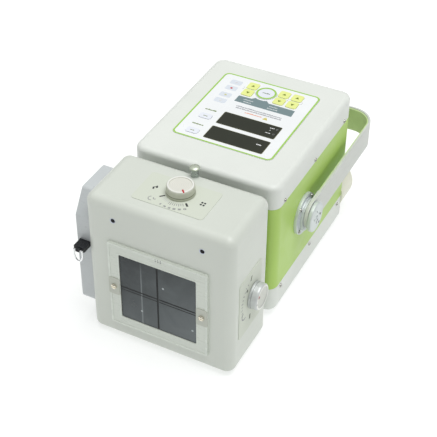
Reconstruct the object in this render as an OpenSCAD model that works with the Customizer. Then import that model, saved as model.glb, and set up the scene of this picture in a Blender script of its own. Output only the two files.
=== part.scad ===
// Portable X-ray generator with a square light-field collimator and a swinging carry handle.
// Frame: +X to the operator's right when facing the beam window, -Y along the beam, +Z up.
// The origin lies on the ground, below the middle of the overall bounding box.

/* [Generator body] */
// Width of the generator body
body_w = 200; // [190:1:220]
// Length of the generator body along the beam
body_l = 240; // [230:1:280]
// Height of the generator body without its feet
body_h = 203; // [200:1:220]
// Radius of the upright edges of the body
corner_r = 14; // [12:1:18]
// Radius of the top edges of the body
top_edge_r = 7; // [5:1:7]
// Radius of the bottom edges of the body
bottom_edge_r = 6; // [5:1:7]
// Wall thickness of the moulded covers
wall = 3; // [2.5:0.5:4]
// Height of the light top cover
top_cover_h = 34; // [31:1:36]
// Height of the light bottom cover
bottom_cover_h = 38.5; // [36:0.5:44]
// Height of the rubber feet
foot_h = 8; // [6:1:12]

/* [Control panel] */
// Width of the membrane panel
panel_w = 140; // [136:1:144]
// Length of the membrane panel
panel_l = 159; // [156:1:162]
// Distance from the front of the body to the panel
panel_setback = 48; // [44:1:52]
// Sideways offset of the panel's middle
panel_x = -2; // [-4:1:0]
// Travel of each key
key_travel = 0.5; // [0.3:0.1:0.6]

/* [Collimator] */
// Sideways offset of the beam axis from the body's middle
coll_x = 1.5; // [0:0.5:3]
// Width of the collimator case
coll_w = 198; // [194:1:204]
// Depth of the collimator case along the beam
coll_l = 100; // [98:1:110]
// Height of the collimator case
coll_h = 213; // [206:1:218]
// Gap between the generator body and the collimator case
coll_gap = 19.5; // [17:0.5:24]
// How far the collimator reaches below the body's underside
coll_drop = 3; // [0:0.5:5]
// Radius of the collimator's outer edges
coll_r = 12; // [11:1:14]
// Height of the beam axis above the body's underside
beam_h = 85; // [83:1:87]
// Width and height of the beam window's clear opening
window_w = 105; // [100:1:108]
// Radius of the two field knobs
knob_r = 17.5; // [16:0.5:18]
// Height of the two field knobs
knob_h = 12; // [11:0.5:14]

/* [Carry handle] */
// Distance from the body's front to the trunnion axis
hub_setback = 84; // [80:1:90]
// Height of the trunnion axis above the body's underside
hub_h = 109; // [106:1:112]
// Reach of the trunnion cap from the side wall
hub_reach = 20; // [20:0.5:22]
// Distance from the trunnion axis to the back of the handle
handle_reach = 227; // [220:1:240]
// Height of the handle strap
strap_h = 38; // [34:1:40]
// Thickness of the handle strap, without its liner
strap_t = 3; // [2.5:0.5:4]
// Thickness of the soft liner inside the strap
liner_t = 1.8; // [1.5:0.1:2]

/* [Distance tape] */
// Width of the tape housing beside the collimator
tape_box_w = 22.5; // [22:0.5:24.5]
// Reach of the tape's pull and ring in front of the housing
pull_reach = 20; // [18:1:22]

/* [Hidden] */

$fn = 64;
reveal = 0.3;      // parting line between two covers
gap = 0.3;         // running gap between moving pieces
fit = 0.05;        // radial clearance of a shaft in its hole
through = 1;       // overshoot of a cutting tool

// Places along the beam axis, Y
tape_setback = 12.5;
lug_r = 2.4;
front_reach = coll_gap + coll_l - tape_setback + pull_reach;
body_front = -(hub_setback + handle_reach - front_reach) / 2;
body_rear = body_front + body_l;
body_mid = (body_front + body_rear) / 2;
coll_rear = body_front - coll_gap;
coll_front = coll_rear - coll_l;
coll_mid = (coll_front + coll_rear) / 2;
hub_y = body_front + hub_setback;
tape_front = coll_front + tape_setback;

// Heights, Z
body_z0 = foot_h;
body_z1 = body_z0 + body_h;
band_z0 = body_z0 + bottom_cover_h;
band_z1 = body_z1 - top_cover_h;
coll_z0 = body_z0 - coll_drop;
coll_z1 = coll_z0 + coll_h;
beam_z = body_z0 + beam_h;
hub_z = body_z0 + hub_h;

side = body_w / 2;
coll_side = coll_w / 2;       // from the beam axis
coll_left = coll_side - coll_x; // from the body's middle

// ---------- shared shapes ----------

// Flat outline with round corners
module round_rect(w, l, r) {
    square([w - 2 * r, l], center = true);
    square([w, l - 2 * r], center = true);
    for (x = [-1, 1], y = [-1, 1])
        translate([x * (w / 2 - r), y * (l / 2 - r)])
            circle(r);
}

// Upright half section from the middle line outwards, with its upper outer corner rounded
module top_rounded(half, h, r) {
    intersection() {
        square([half, h]);
        union() {
            square([half, h - r]);
            if (half > r)
                square([half - r, h]);
            if (r > 0)
                translate([half - r, h - r])
                    circle(r);
        }
    }
}

module half_section(half, h, r_top, r_bottom) {
    intersection() {
        top_rounded(half, h, r_top);
        translate([0, h])
            mirror([0, 1])
                top_rounded(half, h, r_bottom);
    }
}

module full_section(w, h, r_top, r_bottom) {
    half_section(w / 2, h, r_top, r_bottom);
    mirror([1, 0])
        half_section(w / 2, h, r_top, r_bottom);
}

// Block standing on z = 0 with upright edges of radius r and rounded top and bottom edges
module soft_block(w, l, h, r, r_top, r_bottom) {
    rotate([90, 0, 0])
        linear_extrude(l - 2 * r, center = true)
            full_section(w, h, r_top, r_bottom);
    rotate([90, 0, 90])
        linear_extrude(w - 2 * r, center = true)
            full_section(l, h, r_top, r_bottom);
    for (x = [-1, 1], y = [-1, 1])
        translate([x * (w / 2 - r), y * (l / 2 - r), 0])
            rotate_extrude()
                half_section(r, h, r_top, r_bottom);
}

// Plate lying on z = 0 with round corners
module plate(w, l, t, r) {
    linear_extrude(t)
        round_rect(w, l, r);
}

// Plate whose thickness grows from the origin towards +Y, upright, w along X and h along Z
module wall_plate(w, h, t, r) {
    rotate([-90, 0, 0])
        plate(w, h, t, r);
}

// Rod along X, starting at x = 0
module rod_x(r, l) {
    rotate([0, 90, 0])
        cylinder(h = l, r = r);
}

// Rod along +Y, starting at y = 0
module rod_y(r, l) {
    rotate([-90, 0, 0])
        cylinder(h = l, r = r);
}

module both_sides() {
    children();
    mirror([1, 0, 0])
        children();
}

// Moves a piece drawn about x = 0 onto the beam axis
module on_beam() {
    translate([coll_x, 0, 0])
        children();
}

// ---------- small screws ----------

screw_head_r = 2.8;
screw_head_h = 1.3;
screw_shank_r = 1.5;
screw_shank_l = 6;
cross_w = 0.8;
cross_l = 3.4;

// Cross-head screw, its head standing on z = 0 and its shank going down
module screw() {
    difference() {
        cylinder(h = screw_head_h, r1 = screw_head_r, r2 = screw_head_r - 0.6);
        for (a = [0, 90])
            rotate([0, 0, a])
                translate([-cross_l / 2, -cross_w / 2, screw_head_h - 0.7])
                    cube([cross_l, cross_w, through]);
    }
    translate([0, 0, -screw_shank_l])
        cylinder(h = screw_shank_l, r = screw_shank_r);
}

module screw_hole() {
    translate([0, 0, -screw_shank_l - through])
        cylinder(h = screw_shank_l + 2 * through, r = screw_shank_r + fit);
}

clip_head_r = 3.7;
clip_head_h = 2.6;
clip_slot_w = 0.9;

// Slotted pan-head screw for the window clips
module clip_screw() {
    difference() {
        rotate_extrude()
            polygon([[0, 0], [clip_head_r, 0], [clip_head_r, clip_head_h - 1],
                [clip_head_r - 0.4, clip_head_h - 0.4], [clip_head_r - 1.2, clip_head_h], [0, clip_head_h]]);
        translate([-clip_head_r, -clip_slot_w / 2, clip_head_h - 0.9])
            cube([2 * clip_head_r, clip_slot_w, through]);
    }
    translate([0, 0, -screw_shank_l])
        cylinder(h = screw_shank_l, r = screw_shank_r);
}

cover_screw_rows = [23, 116, 213];
cover_screw_z = 3.5;

// Screws along the lower rim of the top cover and the upper rim of the bottom cover
module at_cover_screws() {
    for (y = cover_screw_rows, z = [band_z1 + cover_screw_z, band_z0 - cover_screw_z - 3])
        both_sides()
            translate([side, body_front + y, z])
                rotate([0, 90, 0])
                    children();
}

clip_x = 60.5;
clip_z = beam_z - 2;

module at_clip_screws() {
    for (x = [-1, 1])
        translate([x * clip_x, frame_front - clip_t, clip_z])
            rotate([90, 0, 0])
                children();
}

flange_screw_r = 25;

module at_flange_screws() {
    both_sides()
        for (a = [45 : 90 : 315])
            translate([side + flange_t, hub_y + flange_screw_r * cos(a), hub_z + flange_screw_r * sin(a)])
                rotate([0, 90, 0])
                    children();
}

module small_screws() {
    color([0.62, 0.63, 0.62]) {
        at_cover_screws()
            screw();
        at_flange_screws()
            screw();
        on_beam()
            at_clip_screws()
                clip_screw();
    }
}

// ---------- generator covers ----------

module top_cover() {
    color([0.87, 0.89, 0.87])
        difference() {
            translate([0, body_mid, band_z1 + reveal / 2])
                difference() {
                    soft_block(body_w, body_l, top_cover_h - reveal / 2, corner_r, top_edge_r, 0);
                    translate([0, 0, -through])
                        soft_block(body_w - 2 * wall, body_l - 2 * wall,
                            top_cover_h - reveal / 2 - wall + through,
                            corner_r - wall, top_edge_r - wall, 0);
                }
            translate([panel_x, panel_mid, body_z1 - panel_sink])
                plate(panel_w + 2 * reveal, panel_l + 2 * reveal, wall, panel_corner_r);
            translate([panel_x, panel_mid, body_z1 - 2 * wall])
                plate(panel_w - 16, panel_l - 16, 3 * wall, panel_corner_r);
            at_cover_screws()
                screw_hole();
        }
}

neck_r = 36;

module middle_shell() {
    color([0.62, 0.78, 0.42])
        difference() {
            translate([0, body_mid, band_z0 + reveal / 2])
                difference() {
                    plate(body_w, body_l, band_z1 - band_z0 - reveal, corner_r);
                    translate([0, 0, -through])
                        plate(body_w - 2 * wall, body_l - 2 * wall, band_z1 - band_z0 + 2 * through,
                            corner_r - wall);
                }
            translate([coll_x, body_front - through, beam_z])
                rod_y(neck_r + gap, wall + 2 * through);
            translate([0, body_rear - wall - through, rear_panel_z])
                wall_plate(rear_panel_w - 16, rear_panel_h - 14, wall + 2 * through, 3);
            at_flange_screws()
                translate([0, 0, -flange_t])
                    screw_hole();
        }
}

module bottom_cover() {
    color([0.85, 0.86, 0.83])
        difference() {
            translate([0, body_mid, body_z0])
                difference() {
                    soft_block(body_w, body_l, bottom_cover_h - reveal / 2, corner_r, 0, bottom_edge_r);
                    translate([0, 0, wall])
                        soft_block(body_w - 2 * wall, body_l - 2 * wall, bottom_cover_h,
                            corner_r - wall, 0, bottom_edge_r - wall);
                }
            at_cover_screws()
                screw_hole();
        }
}

foot_r = 9;
foot_inset = 30;

module feet() {
    color([0.16, 0.16, 0.17])
        for (x = [-1, 1], y = [body_front + foot_inset, body_rear - foot_inset])
            translate([x * (side - foot_inset), y, 0])
                cylinder(h = foot_h, r1 = foot_r - 1, r2 = foot_r);
}

bumper_r = 29;
bumper_out = 34;
bumper_nose_r = 12;
bumper_root = 14;
bumper_x = 74;
bumper_z = 44;
bumper_seat = 0.1;

// Domed rear bumpers: short drums with a round nose, hollowed at the root to sit on the body's corners
module rear_bumpers() {
    color([0.88, 0.88, 0.80])
        difference() {
            both_sides()
                translate([bumper_x, body_rear - bumper_root, bumper_z])
                    rotate([-90, 0, 0])
                        rotate_extrude()
                            half_section(bumper_r, bumper_root + bumper_out, bumper_nose_r, 0);
            translate([0, body_mid, body_z0])
                plate(body_w + bumper_seat, body_l + bumper_seat, body_h, corner_r);
        }
}

// ---------- chassis and electronics inside ----------

chassis_z = body_z0 + wall + 9;
chassis_t = 2;

module chassis_plate() {
    color([0.72, 0.74, 0.76]) {
        translate([0, body_mid, chassis_z])
            plate(body_w - 24, body_l - 24, chassis_t, 8);
        for (x = [-1, 1], y = [-1, 1])
            translate([x * (side - 40), body_mid + y * (body_l / 2 - 40), body_z0 + wall])
                cylinder(h = chassis_z - body_z0 - wall, r = 4);
    }
}

focus_y = body_front + 55;
tank_w = 140;
tank_l = 96;
tank_h = 110;
tank_wall = 4;
tank_front = body_front + 8;
port_r = 30;

// Oil-filled tank around the tube, with a round port towards the collimator
module tube_tank() {
    color([0.66, 0.68, 0.70]) on_beam()
        difference() {
            union() {
                translate([-tank_w / 2, tank_front, beam_z - tank_h / 2])
                    cube([tank_w, tank_l, tank_h]);
                for (x = [-1, 1])
                    translate([x * (tank_w / 2 - 12) - 6, tank_front, chassis_z + chassis_t])
                        cube([12, tank_l, beam_z - tank_h / 2 - chassis_z - chassis_t]);
            }
            translate([-tank_w / 2 + tank_wall, tank_front + tank_wall, beam_z - tank_h / 2 + tank_wall])
                cube([tank_w - 2 * tank_wall, tank_l - 2 * tank_wall, tank_h - 2 * tank_wall]);
            translate([0, tank_front - through, beam_z])
                rod_y(port_r, tank_wall + 2 * through);
        }
}

envelope_r = 22;
envelope_l = 104;
glass_t = 2;

// Glass envelope, closed at both ends around the electrode stems
module tube_envelope() {
    color([0.75, 0.85, 0.88, 0.4]) on_beam()
        translate([-envelope_l / 2, focus_y, beam_z])
            difference() {
                rod_x(envelope_r, envelope_l);
                translate([glass_t, 0, 0])
                    rod_x(envelope_r - glass_t, envelope_l - 2 * glass_t);
                translate([-through, 0, 0])
                    rod_x(stem_r + fit, envelope_l + 2 * through);
            }
}

stem_r = 6;
target_r = 15;

// Copper anode with a slanted face, and the cathode cup opposite it
module tube_electrodes() {
    color([0.72, 0.45, 0.28]) on_beam()
        translate([0, focus_y, beam_z]) {
            difference() {
                union() {
                    translate([4, 0, 0])
                        rod_x(target_r, 22);
                    rod_x(stem_r, tank_w / 2 - tank_wall);
                }
                translate([4, 0, 0])
                    rotate([0, 0, 20])
                        translate([-20, -40, -40])
                            cube([20, 80, 80]);
            }
            translate([tank_wall - tank_w / 2, 0, 0])
                rod_x(stem_r, tank_w / 2 - tank_wall - 20);
            translate([-30, 0, 0])
                rod_x(11, 12);
        }
}

board_t = 1.6;
heat_fin_t = 2;

// Power board with its finned heat sink, behind the tank
module inverter_board() {
    color([0.12, 0.36, 0.22])
        translate([-80, tank_front + tank_l + 12, chassis_z + chassis_t])
            cube([160, board_t, 124]);
    color([0.55, 0.57, 0.58]) {
        translate([-60, tank_front + tank_l + 12 + board_t, chassis_z + chassis_t + 60])
            cube([120, 4, 56]);
        for (i = [0 : 9])
            translate([-60 + i * (120 - heat_fin_t) / 9, tank_front + tank_l + 16 + board_t,
                chassis_z + chassis_t + 60])
                cube([heat_fin_t, 18, 56]);
    }
}

module control_board() {
    color([0.10, 0.32, 0.40]) {
        translate([-78, body_mid - 66, beam_z + tank_h / 2 + 12])
            cube([156, 120, board_t]);
        for (x = [-1, 1], y = [body_mid - 60, tank_front + tank_l - 6])
            translate([x * 60, y, beam_z + tank_h / 2])
                cylinder(h = 12, r = 3);
    }
    color([0.15, 0.15, 0.16])
        for (p = [[-40, -40], [0, -40], [40, -40], [-40, 10], [24, 8]])
            translate([p[0] - 8, body_mid + p[1], beam_z + tank_h / 2 + 12 + board_t])
                cube([16, 12, 3]);
}

capacitor_r = 14;

module capacitor_bank() {
    color([0.20, 0.24, 0.34])
        for (i = [-2 : 2])
            translate([i * 32, body_rear - 44, chassis_z + chassis_t])
                cylinder(h = 48, r = capacitor_r);
}

// Lead-lined neck that carries the collimator, from the tank to the collimator's back plate
module port_neck() {
    color([0.36, 0.38, 0.38]) on_beam()
        translate([0, coll_rear, beam_z])
            difference() {
                union() {
                    rod_y(neck_r, tank_front - coll_rear);
                    rod_y(neck_r + 8, 4);
                }
                translate([0, -through, 0])
                    rod_y(port_r, tank_front - coll_rear + 2 * through);
            }
}

// ---------- control panel ----------

panel_mid = body_front + panel_setback + panel_l / 2;
panel_corner_r = 8;
panel_sink = 1.4;
panel_t = 1.8;
panel_z = body_z1 - panel_sink;
panel_top = panel_z + panel_t;

key_w = 15;
key_l = 15.5;
key_corner_r = 3;
key_lift = 0.7;
key_h = 5.5;
key_row_1 = body_front + 173.3;
key_row_2 = body_front + 190.6;
key_col_1 = -24;
key_col_2 = 21.8;
key_col_3 = 40.4;
ring_x = -1;
ring_y = body_front + 182.4;
ring_r = 14.3;
left_col = -48.5;
left_key_w = 17;
left_key_l = 11;
mode_y = body_front + 99;
memory_y = body_front + 63;

yellow_keys = [
    [key_col_1, key_row_2], [key_col_1, key_row_1],
    [key_col_2, key_row_2], [key_col_2, key_row_1],
    [key_col_3, key_row_2], [key_col_3, key_row_1],
];

display_w = 82;
display_l = 28.5;
display_x = 10.4;
display_ys = [body_front + 70.5, body_front + 105.9];
lamp_ys = [body_front + 141, body_front + 156, body_front + 174, body_front + 189];

module panel_face() {
    color([0.93, 0.95, 0.97])
        difference() {
            translate([panel_x, panel_mid, panel_z])
                plate(panel_w, panel_l, panel_t, panel_corner_r - reveal);
            for (p = yellow_keys)
                translate([p[0], p[1], panel_z - through])
                    plate(key_w + 2 * gap, key_l + 2 * gap, panel_t + 2 * through, key_corner_r + gap);
            for (y = [mode_y, memory_y])
                translate([left_col, y, panel_z - through])
                    plate(left_key_w + 2 * gap, left_key_l + 2 * gap, panel_t + 2 * through,
                        key_corner_r + gap);
            translate([ring_x, ring_y, panel_z - through])
                cylinder(h = panel_t + 2 * through, r = ring_r + gap);
            for (y = display_ys)
                translate([display_x, y, panel_top - 1])
                    plate(display_w + 0.2, display_l + 0.2, 2, 2);
            for (y = lamp_ys)
                translate([left_col, y, panel_z - through])
                    cylinder(h = panel_t + 2 * through, r = 1.7);
        }
}

module display_windows() {
    color([0.20, 0.20, 0.17])
        for (y = display_ys)
            translate([display_x, y, panel_top - 1])
                plate(display_w, display_l, 1.1, 1.9);
}

module indicator_lamps() {
    color([0.85, 0.25, 0.20])
        for (y = lamp_ys)
            translate([left_col, y, panel_z]) {
                cylinder(h = panel_t + 0.2, r = 1.6);
                translate([0, 0, -2])
                    cylinder(h = 2, r = 2.2);
            }
}

board_z = panel_z - 6;
standoff_ys = [panel_mid - 46.5, panel_mid + 65.5];

module display_board() {
    color([0.12, 0.36, 0.22])
        translate([panel_x, panel_mid, board_z - board_t])
            plate(panel_w - 20, panel_l - 20, board_t, 4);
    color([0.15, 0.15, 0.16]) {
        for (y = display_ys)
            translate([display_x - 36, y - 11, board_z])
                cube([72, 22, 4]);
        for (p = concat(yellow_keys, [[left_col, mode_y], [left_col, memory_y], [ring_x, ring_y]]))
            translate([p[0] - 3, p[1] - 3, board_z])
                cube([6, 6, 2]);
        for (x = [-1, 1], y = standoff_ys)
            translate([panel_x + x * (panel_w / 2 - 14), y, board_z])
                cylinder(h = panel_z - board_z, r = 3);
    }
}

// Cap of one square key
module key_cap(p, w, l) {
    translate([p[0], p[1], panel_top + key_lift - key_h])
        plate(w, l, key_h, key_corner_r);
}

module yellow_key(i) {
    color([0.89, 0.92, 0.55])
        key_cap(yellow_keys[i], key_w, key_l);
}

module key_1() { yellow_key(0); }
module key_2() { yellow_key(1); }
module key_3() { yellow_key(2); }
module key_4() { yellow_key(3); }
module key_5() { yellow_key(4); }
module key_6() { yellow_key(5); }

module ring_key() {
    color([0.65, 0.82, 0.35])
        translate([ring_x, ring_y, panel_top + key_lift - key_h])
            cylinder(h = key_h, r = ring_r);
}

module mode_key() {
    color([0.88, 0.91, 0.95])
        key_cap([left_col, mode_y], left_key_w, left_key_l);
}

module memory_key() {
    color([0.88, 0.91, 0.95])
        key_cap([left_col, memory_y], left_key_w, left_key_l);
}

// ---------- rear connections ----------

rear_panel_w = 136;
rear_panel_h = 54;
rear_panel_t = 2;
rear_panel_z = 98;
connector_z = 91;
inlet_x = 38;
switch_x = -6;
socket_x = -44;
inlet_w = 27;
inlet_h = 19;
rocker_w = 13;
rocker_h = 18;
rocker_tilt = 8;
rocker_pivot_y = body_rear - 3;
rocker_pin_r = 1.2;
rocker_pin_l = rocker_w + 4;
rocker_bay_w = rocker_w + 1;
rocker_bay_h = rocker_h + 3;
rocker_bay_d = 10;

module rear_panel() {
    color([0.30, 0.32, 0.32])
        difference() {
            union() {
                translate([0, body_rear, rear_panel_z])
                    wall_plate(rear_panel_w, rear_panel_h, rear_panel_t, 5);
                translate([switch_x, body_rear - rocker_bay_d - 2, connector_z])
                    wall_plate(rocker_bay_w + 5, rocker_bay_h + 4, rocker_bay_d + 3, 1);
            }
            translate([inlet_x, body_rear - through, connector_z])
                wall_plate(inlet_w + 0.4, inlet_h + 0.4, rear_panel_t + 2 * through, 2);
            translate([switch_x, body_rear - rocker_bay_d, connector_z])
                wall_plate(rocker_bay_w, rocker_bay_h, rocker_bay_d + rear_panel_t + through, 0.5);
            translate([switch_x - rocker_pin_l / 2 - fit, rocker_pivot_y, connector_z])
                rod_x(rocker_pin_r + fit, rocker_pin_l + 2 * fit);
            translate([socket_x, body_rear - through, connector_z])
                rod_y(8.1, rear_panel_t + 2 * through);
        }
}

inlet_depth = 20;
inlet_mouth_y = body_rear + rear_panel_t + 1.8;

// Mains inlet: a flanged box with a recess and three flat contacts at its floor
module power_inlet() {
    color([0.12, 0.12, 0.13])
        difference() {
            union() {
                translate([inlet_x, body_rear + rear_panel_t, connector_z])
                    wall_plate(inlet_w + 12, inlet_h + 6, 1.8, 3);
                translate([inlet_x, inlet_mouth_y - inlet_depth, connector_z])
                    wall_plate(inlet_w, inlet_h, inlet_depth - 1, 1.9);
            }
            translate([inlet_x, inlet_mouth_y - inlet_depth + 3, connector_z])
                wall_plate(inlet_w - 4, inlet_h - 4, inlet_depth, 2);
        }
    color([0.75, 0.76, 0.77])
        for (p = [[-7, -2], [7, -2], [0, 2]])
            translate([inlet_x + p[0] - 1, inlet_mouth_y - inlet_depth + 3, connector_z + p[1] - 2])
                cube([2, 9, 4]);
}

// Rocker cap, resting at its "off" tilt about a cross axis behind the panel
module power_switch() {
    color([0.10, 0.10, 0.11])
        translate([switch_x, rocker_pivot_y, connector_z])
            rotate([rocker_tilt, 0, 0])
                difference() {
                    union() {
                        translate([-rocker_w / 2, 0, -rocker_h / 2])
                            cube([rocker_w, 7.5, rocker_h]);
                        translate([-rocker_w / 2, 0, 0])
                            rod_x(3, rocker_w);
                        translate([-rocker_pin_l / 2, 0, 0])
                            rod_x(rocker_pin_r, rocker_pin_l);
                    }
                    translate([-rocker_w, 7.5 + 28.8, 0])
                        rod_x(30, 2 * rocker_w);
                }
}

// Round socket for the exposure hand switch
module hand_switch_socket() {
    color([0.72, 0.73, 0.74])
        translate([socket_x, body_rear + rear_panel_t, connector_z])
            difference() {
                union() {
                    rod_y(11, 3);
                    rod_y(9, 6);
                    translate([0, -16, 0])
                        rod_y(8, 17);
                }
                translate([0, -12, 0])
                    rod_y(5, 20);
            }
}

// ---------- trunnions and handle ----------

flange_r = 28.5;
flange_t = 4;
spigot_r = 21.8;
journal_r = 12;
cap_r = 20.5;
cap_t = 5.9;
strap_inner_x = side + 9;
strap_outer_x = strap_inner_x + strap_t + liner_t;
cap_x = side + hub_reach - cap_t;
yoke_hole_r = 2.1;
yoke_pcd = 16;
yoke_depth = 14;

module yoke_holes() {
    for (a = [0 : 90 : 270])
        translate([side + hub_reach - yoke_depth, hub_y + yoke_pcd / 2 * cos(a), hub_z + yoke_pcd / 2 * sin(a)])
            rod_x(yoke_hole_r, yoke_depth + through);
}

// Turned flange on each side wall, with a spacer step and the journal that the handle turns on
module hub_flanges() {
    color([0.78, 0.80, 0.80])
        both_sides()
            difference() {
                translate([side, hub_y, hub_z]) {
                    rod_x(flange_r, flange_t);
                    rod_x(spigot_r, 9 - gap);
                    rod_x(spigot_r - 2, 9 - gap);
                    rod_x(journal_r, hub_reach - cap_t);
                }
                yoke_holes();
                translate([side + flange_t + 1.4, hub_y, hub_z])
                    difference() {
                        rod_x(spigot_r + 1, 1.4);
                        translate([-through, 0, 0])
                            rod_x(spigot_r - 1, 1.4 + 2 * through);
                    }
                for (a = [45 : 90 : 315])
                    translate([side - through, hub_y + flange_screw_r * cos(a),
                        hub_z + flange_screw_r * sin(a)])
                        rod_x(screw_shank_r + fit, flange_t + 2 * through);
            }
}

// Outer caps: they keep the handle on and carry the tapped holes for a stand's yoke
module hub_caps() {
    color([0.82, 0.84, 0.84])
        both_sides()
            difference() {
                translate([cap_x, hub_y, hub_z])
                    rotate([0, 90, 0])
                        rotate_extrude()
                            polygon([[0, 0], [cap_r - 1, 0], [cap_r, 1], [cap_r, cap_t - 1],
                                [cap_r - 1, cap_t], [0, cap_t]]);
                yoke_holes();
                translate([side + hub_reach - 2, hub_y, hub_z])
                    rod_x(3.2, 3);
            }
}

bend_r = 33;
handle_back = hub_y + handle_reach;
strap_z = hub_z + 3;   // the strap stands a little above the trunnion axis

// Outline of the bail seen from above, at a given inset from its outer surface
module bail_outline(inset) {
    half = strap_outer_x - inset;
    r = bend_r - inset;
    translate([-half, hub_y])
        square([2 * half, handle_back - inset - r - hub_y]);
    translate([-half + r, hub_y])
        square([2 * half - 2 * r, handle_back - inset - hub_y]);
    for (x = [-1, 1])
        translate([x * (half - r), handle_back - inset - r])
            circle(r);
}

module bail(outer, inner, h, front) {
    translate([0, 0, strap_z - h / 2])
        linear_extrude(h)
            difference() {
                bail_outline(outer);
                bail_outline(inner);
                translate([-2 * side, hub_y - through])
                    square([4 * side, front + through]);
            }
}

module handle_strap() {
    color([0.80, 0.81, 0.80])
        difference() {
            union() {
                bail(0, strap_t, strap_h, 0);
                both_sides()
                    translate([strap_inner_x, hub_y, strap_z])
                        rod_x(strap_h / 2, strap_t + liner_t);
                both_sides()
                    translate([strap_inner_x, hub_y, strap_z - strap_h / 2])
                        cube([strap_t + liner_t, eye_l, strap_h]);
            }
            both_sides()
                translate([strap_inner_x - through, hub_y, hub_z])
                    rod_x(journal_r + fit, strap_t + liner_t + 2 * through);
        }
}

eye_l = 26;

module handle_liner() {
    color([0.55, 0.65, 0.41])
        bail(strap_t, strap_t + liner_t, strap_h - 3, eye_l);
}

// ---------- collimator housing ----------

coll_wall = 3;
case_window = window_w + 7;
back_w = coll_w - 40;
back_h = coll_h - 44;
back_inner_y = coll_rear - coll_wall - 2;
frame_w = 136;
frame_h = 132;
frame_t = 3;
frame_z = beam_z + 0.5;
frame_front = coll_front - frame_t;
laser_x = 59.25;
laser_z = coll_z0 + 187;
laser_r = 3;
top_knob_x = 2.5;
top_knob_y = coll_front + 54.5;
side_knob_y = coll_front + 56.8;
side_knob_z = beam_z + 3.3;
shaft_r = 3;
plunger_x = 1.5;
plunger_y = coll_rear - 8.3;
plunger_r = 4.6;
coll_bottom_r = 8;

module collimator_case() {
    color([0.82, 0.84, 0.81]) on_beam()
        difference() {
            translate([0, coll_mid, coll_z0])
                difference() {
                    soft_block(coll_w, coll_l, coll_h, coll_r, coll_r, coll_bottom_r);
                    translate([0, 0, coll_wall])
                        soft_block(coll_w - 2 * coll_wall, coll_l - 2 * coll_wall, coll_h - 2 * coll_wall,
                            coll_r - coll_wall, coll_r - coll_wall, coll_bottom_r - coll_wall);
                }
            translate([0, coll_rear - coll_wall - through, coll_z0 + coll_h / 2])
                wall_plate(back_w, back_h, coll_wall + 2 * through, 6);
            translate([0, coll_front - through, beam_z])
                wall_plate(case_window, case_window, coll_wall + 2 * through, 3);
            for (x = [-laser_x, laser_x])
                translate([x, coll_front - through, laser_z])
                    rod_y(laser_r + fit, coll_wall + 2 * through);
            translate([top_knob_x, top_knob_y, coll_z1 - coll_wall - through])
                cylinder(h = coll_wall + 2 * through, r = shaft_r + fit);
            translate([coll_side - coll_wall - through, side_knob_y, side_knob_z])
                rod_x(shaft_r + fit, coll_wall + 2 * through);
            translate([plunger_x, plunger_y, coll_z1 - coll_r - through])
                cylinder(h = coll_r + 2 * through, r = plunger_r + fit);
            at_clip_screws()
                screw_hole();
        }
}

module collimator_back() {
    color([0.55, 0.57, 0.56]) on_beam()
        difference() {
            union() {
                translate([0, coll_rear - coll_wall, coll_z0 + coll_h / 2])
                    wall_plate(back_w - 0.4, back_h - 0.4, coll_wall, 5.8);
                translate([0, back_inner_y, coll_z0 + coll_h / 2])
                    wall_plate(back_w + 10, back_h + 10, 2, 8);
            }
            translate([0, back_inner_y - through, beam_z])
                rod_y(port_r, coll_wall + 2 + 2 * through);
        }
}

module front_frame() {
    color([0.80, 0.82, 0.80]) on_beam()
        difference() {
            translate([0, frame_front, frame_z])
                wall_plate(frame_w, frame_h, frame_t, 3);
            translate([0, frame_front - through, beam_z])
                wall_plate(window_w, window_w - 3, frame_t + 2 * through, 2);
            at_clip_screws()
                screw_hole();
        }
}

pane_t = 2.8;
pane_sink = 1;

// Stepped pane: its flange sits in the case and its front field fills the frame's opening
module window_pane() {
    color([0.32, 0.36, 0.38, 0.6]) on_beam() {
        translate([0, coll_front, beam_z])
            wall_plate(case_window - 0.6, case_window - 0.6, pane_t, 2.5);
        translate([0, frame_front + pane_sink, beam_z])
            wall_plate(window_w - 0.6, window_w - 3.6, frame_t - pane_sink + pane_t, 1.7);
    }
}

clip_t = 1.2;
clip_w = 15;
clip_h = 26;

module frame_clips() {
    color([0.76, 0.78, 0.76]) on_beam()
        difference() {
            for (x = [-1, 1])
                translate([x * clip_x, frame_front - clip_t, clip_z])
                    wall_plate(clip_w, clip_h, clip_t, 2);
            at_clip_screws()
                screw_hole();
        }
}

// Two alignment lasers with small bezels
module laser_modules() {
    color([0.20, 0.21, 0.24]) on_beam()
        for (x = [-laser_x, laser_x])
            translate([x, coll_front, laser_z])
                difference() {
                    union() {
                        rod_y(laser_r, 20);
                        translate([0, -0.5, 0])
                            rod_y(laser_r + 0.8, 0.5);
                    }
                    translate([0, -through, 0])
                        rod_y(1.7, 9);
                }
}

scale_t = 0.6;
top_scale_w = 95;
top_scale_l = 55;
side_scale_l = 60;
side_scale_h = 90;

// Printed scale plates around the two knobs
module scale_plates() {
    color([0.86, 0.87, 0.80]) on_beam() {
        difference() {
            translate([top_knob_x - 1.5, coll_mid - 2, coll_z1])
                plate(top_scale_w, top_scale_l, scale_t, 4);
            translate([top_knob_x, top_knob_y, coll_z1 - through])
                cylinder(h = 3, r = shaft_r + 0.5);
        }
        difference() {
            translate([coll_side, coll_mid - 2, beam_z + 2])
                rotate([0, 90, 0])
                    plate(side_scale_h, side_scale_l, scale_t, 4);
            translate([coll_side - through, side_knob_y, side_knob_z])
                rod_x(shaft_r + 0.5, 3);
        }
    }
}

// ---------- knobs, shafts and shutter leaves ----------

knob_base = scale_t + gap;
top_pointer = 41.5;
side_pointer = 0;

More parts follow.
